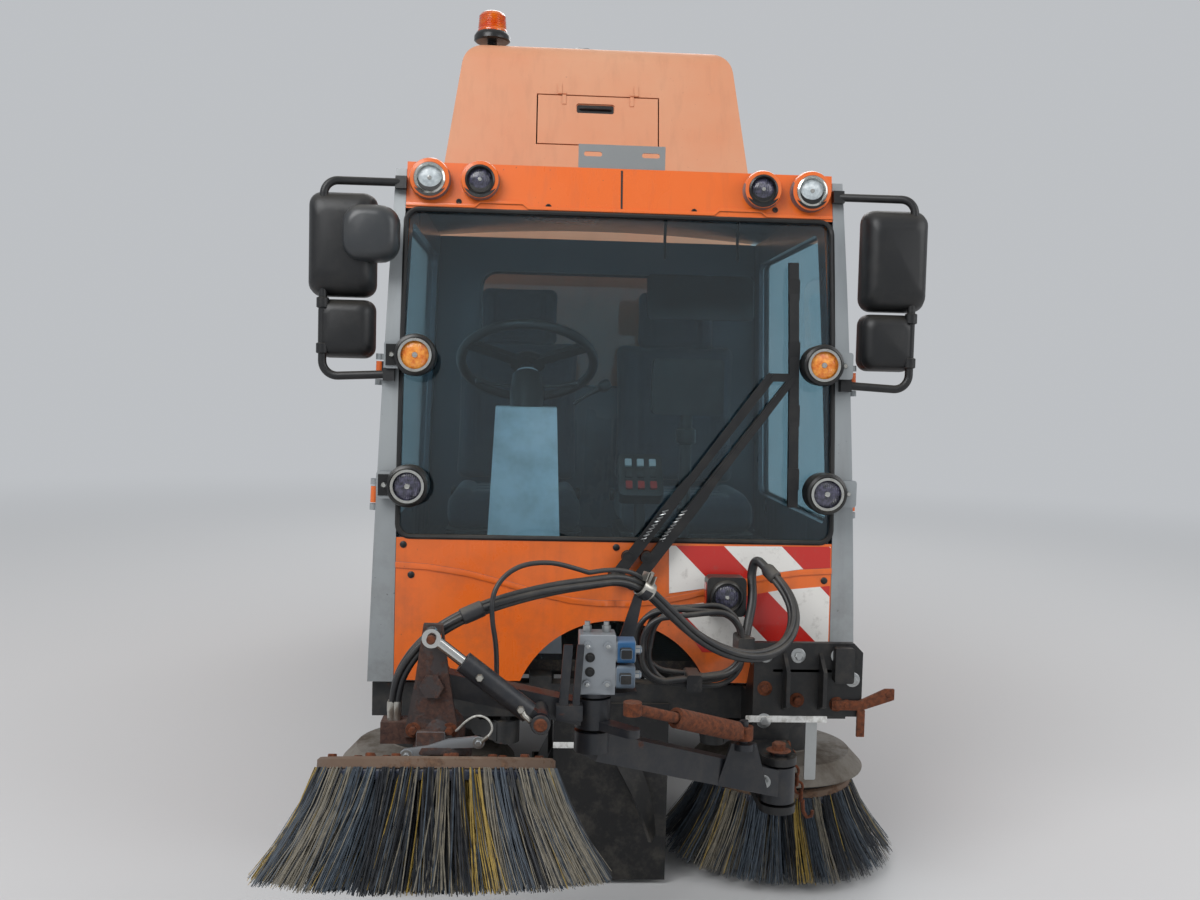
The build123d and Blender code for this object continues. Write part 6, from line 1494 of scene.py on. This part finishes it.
# Side tanks: ribbed water tanks of moulded grey plastic between the axles, muddy along the bottom.
# Two zinc-plated steel straps go round each tank, and a black screw cap closes its filler.
tank_grey, shader = new_finish("tank_grey")
where = place_on(shader)
height_up = add("SeparateXYZ", {0: where}).outputs[2]
mud = cloud(where, 8.0, 7.0, 0.7, 0.42, 0.70)
low_mud = times(mud, span(height_up, 0.95, 0.45, 0.15, 0.95))
surface(shader, blend_of(low_mud, tone(0.30, 0.31, 0.32), tone(0.42, 0.38, 0.33)),
        span(low_mud, 0.0, 1.0, 0.42, 0.85), noise(where, 260.0, 3.0, 0.6), 0.0005)
coat(tank_grey, "side_tanks")


def hoop(finish_of, outer, inner, thickness, origin, across=(1, 0, 0), rise=to_top):
    """Points, faces and finish of a flat ring between two outlines of as many points, thickened."""
    across = Vector(across).normalized()
    rise = Vector(rise).normalized()
    normal = across.cross(rise)
    count = len(outer)
    shape_points = []
    for lift in (0.0, thickness):
        for outline in (outer, inner):
            shape_points += [Vector(origin) + across * a + rise * b + normal * lift for a, b in outline]
    faces = []
    for k in range(count):
        after = (k + 1) % count
        faces.append((k, after, count + after, count + k))
        faces.append((2 * count + k, 3 * count + k, 3 * count + after, 2 * count + after))
        faces.append((k, 2 * count + k, 2 * count + after, after))
        faces.append((count + k, count + after, 3 * count + after, 3 * count + k))
    return shape_points, faces, finish_of


strap_shapes = []
filler_y, filler_z = 0.311, 0.868
for sign in (-1, 1):
    for y in (cab_y + 1.820, cab_y + 2.380):
        outer = rounded(0.356, 0.566, 0.063, 6, sign * 0.455, 0.700)
        inner = rounded(0.3496, 0.5596, 0.060, 6, sign * 0.455, 0.700)
        strap_shapes.append(hoop(zinc, outer, inner, 0.040, (0, y + 0.020, 0)))
        strap_shapes += hex_bolt((sign * 0.6330, y, 0.900), (sign, 0, 0), 0.014, zinc)
    cap = [(0, 0.0245), (0.046, 0.0240), (0.052, 0.0200), (0.0585, 0.0190), (0.0590, 0.0020), (0.0590, 0.0)]
    strap_shapes.append(turned(black_plastic, cap, (sign * 0.632, filler_y, filler_z), (sign, 0, 0), 36))
    wing = rounded(0.088, 0.014, 0.005, 3)
    strap_shapes.append(slab(black_plastic, wing, 0.010 * sign, (sign * 0.655, filler_y, filler_z),
                             (0, 1, 0)))
joined("tank_straps", strap_shapes, "chassis", bevel=0.0010)

# Brush stop: a flat alloy lever bolted on the tilt plate, with a steel block behind it.
# A loop of white cable in a plastic sheath hangs from it, and ends in a crimped ferrule.
lever_y = -2.152
lever_outline = [(-0.489, 0.578), (-0.482, 0.572), (-0.430, 0.583), (-0.385, 0.598), (-0.335, 0.600),
                 (-0.318, 0.606), (-0.318, 0.618), (-0.336, 0.622), (-0.392, 0.616), (-0.436, 0.601),
                 (-0.484, 0.594), (-0.491, 0.588)]
stop_shapes = [slab(cast_alloy, lever_outline, 0.012, (0, lever_y + 0.012, 0))]
for x, z in ((-0.478, 0.583), (-0.330, 0.611)):
    stop_shapes += hex_bolt((x, lever_y, z), to_front, 0.013, zinc)
block = rounded(0.060, 0.050, 0.004, 2, -0.430, 0.604)
stop_shapes.append(slab(plate_rust, block, -0.030, (0, lever_y + 0.012, 0)))
joined("brush_stop", stop_shapes, "tilt_head", bevel=0.0015)
cable_white = marked("cable_white", (120.0, 4.0, 0.7, 0.40, 0.75), (0.80, 0.80, 0.78), (0.45, 0.43, 0.39),
                     0.35, 0.7)
cable_line = spline_line((
    (-0.378, -2.128, 0.628), (-0.370, -2.146, 0.640), (-0.354, -2.157, 0.660), (-0.332, -2.160, 0.672),
    (-0.310, -2.159, 0.664), (-0.300, -2.157, 0.645), (-0.306, -2.155, 0.628), (-0.320, -2.154, 0.616),
))
cable_radius = 0.0024
cable_loop = joined("stop_cable", [tube(cable_white, cable_line, cable_radius, 8)], "tilt_head", sharp=60)
ferrule = [(cable_radius, -0.014), (0.0040, -0.013), (0.0042, 0.004), (0.0030, 0.006)]
cable_way = cable_line[-1] - cable_line[-3]
cable_end = joined("stop_cable_end", [turned(crimp_steel, ferrule, cable_line[-1], cable_way, 12)],
                   "tilt_head")

# Pins of the tilt cylinder: a rusty pin head at its foot, on a black collar, and one at its eye.
# Two unions and a bent stub feed its barrel.
foot = Vector((-0.202, -2.145, 0.655))
foot_pin = [(0, 0.034), (0.011, 0.034), (0.0145, 0.031), (0.0150, 0.020)]
foot_collar = [(0, 0.031), (0.019, 0.031), (0.0205, 0.029), (0.0205, 0.024)]
joined("tilt_pin_foot", [turned(rusty_iron, foot_pin, foot, to_front, 20),
                         turned(arm_black, foot_collar, foot, to_front, 24)], "brush_arm")
eye = Vector((-0.430, -2.145, 0.830))
eye_pin = [(0, 0.031), (0.008, 0.031), (0.0095, 0.028), (0.0095, 0.020)]
joined("tilt_pin_eye", [turned(rusty_iron, eye_pin, eye, to_front, 20)], "tilt_head")
barrel_way = (eye - foot).normalized()
union = [(0, 0.015), (0.0065, 0.015), (0.0085, 0.012), (0.0085, 0.006), (0.0060, 0.006), (0.0060, -0.002)]
fitting_shapes = []
for travel in (0.052, 0.160):
    seat = foot + barrel_way * travel + Vector((0, -0.0185, 0))
    fitting_shapes.append(turned(crimp_steel, union, seat, to_front, 6))
seat = foot + barrel_way * 0.052 + Vector((0, -0.024, 0))
stub = [seat, seat + Vector((0.006, 0.0, -0.012)), seat + Vector((0.020, 0.006, -0.026))]
fitting_shapes.append(tube(crimp_steel, stub, [0.0065, 0.0065, 0.0055], 10))
joined("tilt_fittings", fitting_shapes, "tilt_barrel")

# Door handles: a black moulded grip across the recess of each door's handle.
# Under it is a zinc-plated lock barrel in a black ring.
pull_route = ((1.045, -0.012), (1.055, -0.002), (1.080, 0.001), (1.112, 0.001), (1.137, -0.002),
              (1.147, -0.012))
lock = [(0, 0.003), (0.0075, 0.003), (0.0095, 0.001), (0.0095, -0.002)]
lock_ring = [(0.0105, 0.0008), (0.0125, 0.0015), (0.0140, 0.0008), (0.0140, -0.001)]
for side_name, sign in both_sides:
    foot, rise, outward = cab_side(sign)
    pull = [foot + Vector((0, run, 0)) + rise * 0.356 + outward * lift for run, lift in pull_route]
    spot = foot + Vector((0, 1.096, 0)) + rise * 0.300
    door_shapes = [tube(black_plastic, pull, 0.0075, 10), turned(zinc, lock, spot, outward, 20),
                   turned(black_plastic, lock_ring, spot, outward, 24)]
    joined(f"door_handle_{side_name}", door_shapes, f"door_{side_name}")

# Hopper's rear door: hex bolts through its ribs and through the hooks of its latches.
# A round red reflector in a black ring is fixed at each lower corner.
tail_foot = Vector((0, 2.369, 1.020))
tail_up = Vector((0, -0.1315, 0.9913))
tail_out = Vector((0, 0.9913, 0.1315))
reflector = [(0, 0.0065), (0.026, 0.0065), (0.028, 0.0050), (0.028, -0.002)]
reflector_ring = [(0.028, 0.0040), (0.031, 0.0055), (0.034, 0.0040), (0.034, -0.002)]
tail_shapes = []
for sign in (-1, 1):
    for x, rises, size, finish_of in ((0.330, (0.240, 0.500, 0.930, 1.280), 0.017, zinc),
                                      (0.480, (0.012, 0.068), 0.014, rusty_iron)):
        for rise in rises:
            spot = tail_foot + Vector((sign * x, 0, 0)) + tail_up * rise + tail_out * 0.022
            tail_shapes += hex_bolt(spot, tail_out, size, finish_of)
    spot = tail_foot + Vector((sign * 0.480, 0, 0)) + tail_up * 0.180
    tail_shapes.append(turned(red_lens, reflector, spot, tail_out, 32))
    tail_shapes.append(turned(black_plastic, reflector_ring, spot, tail_out, 32))
joined("rear_door_bolts", tail_shapes, "tail_door")

# Ending: colours are shown as they are written, without a film look.
bpy.context.scene.view_settings.view_transform = "Standard"
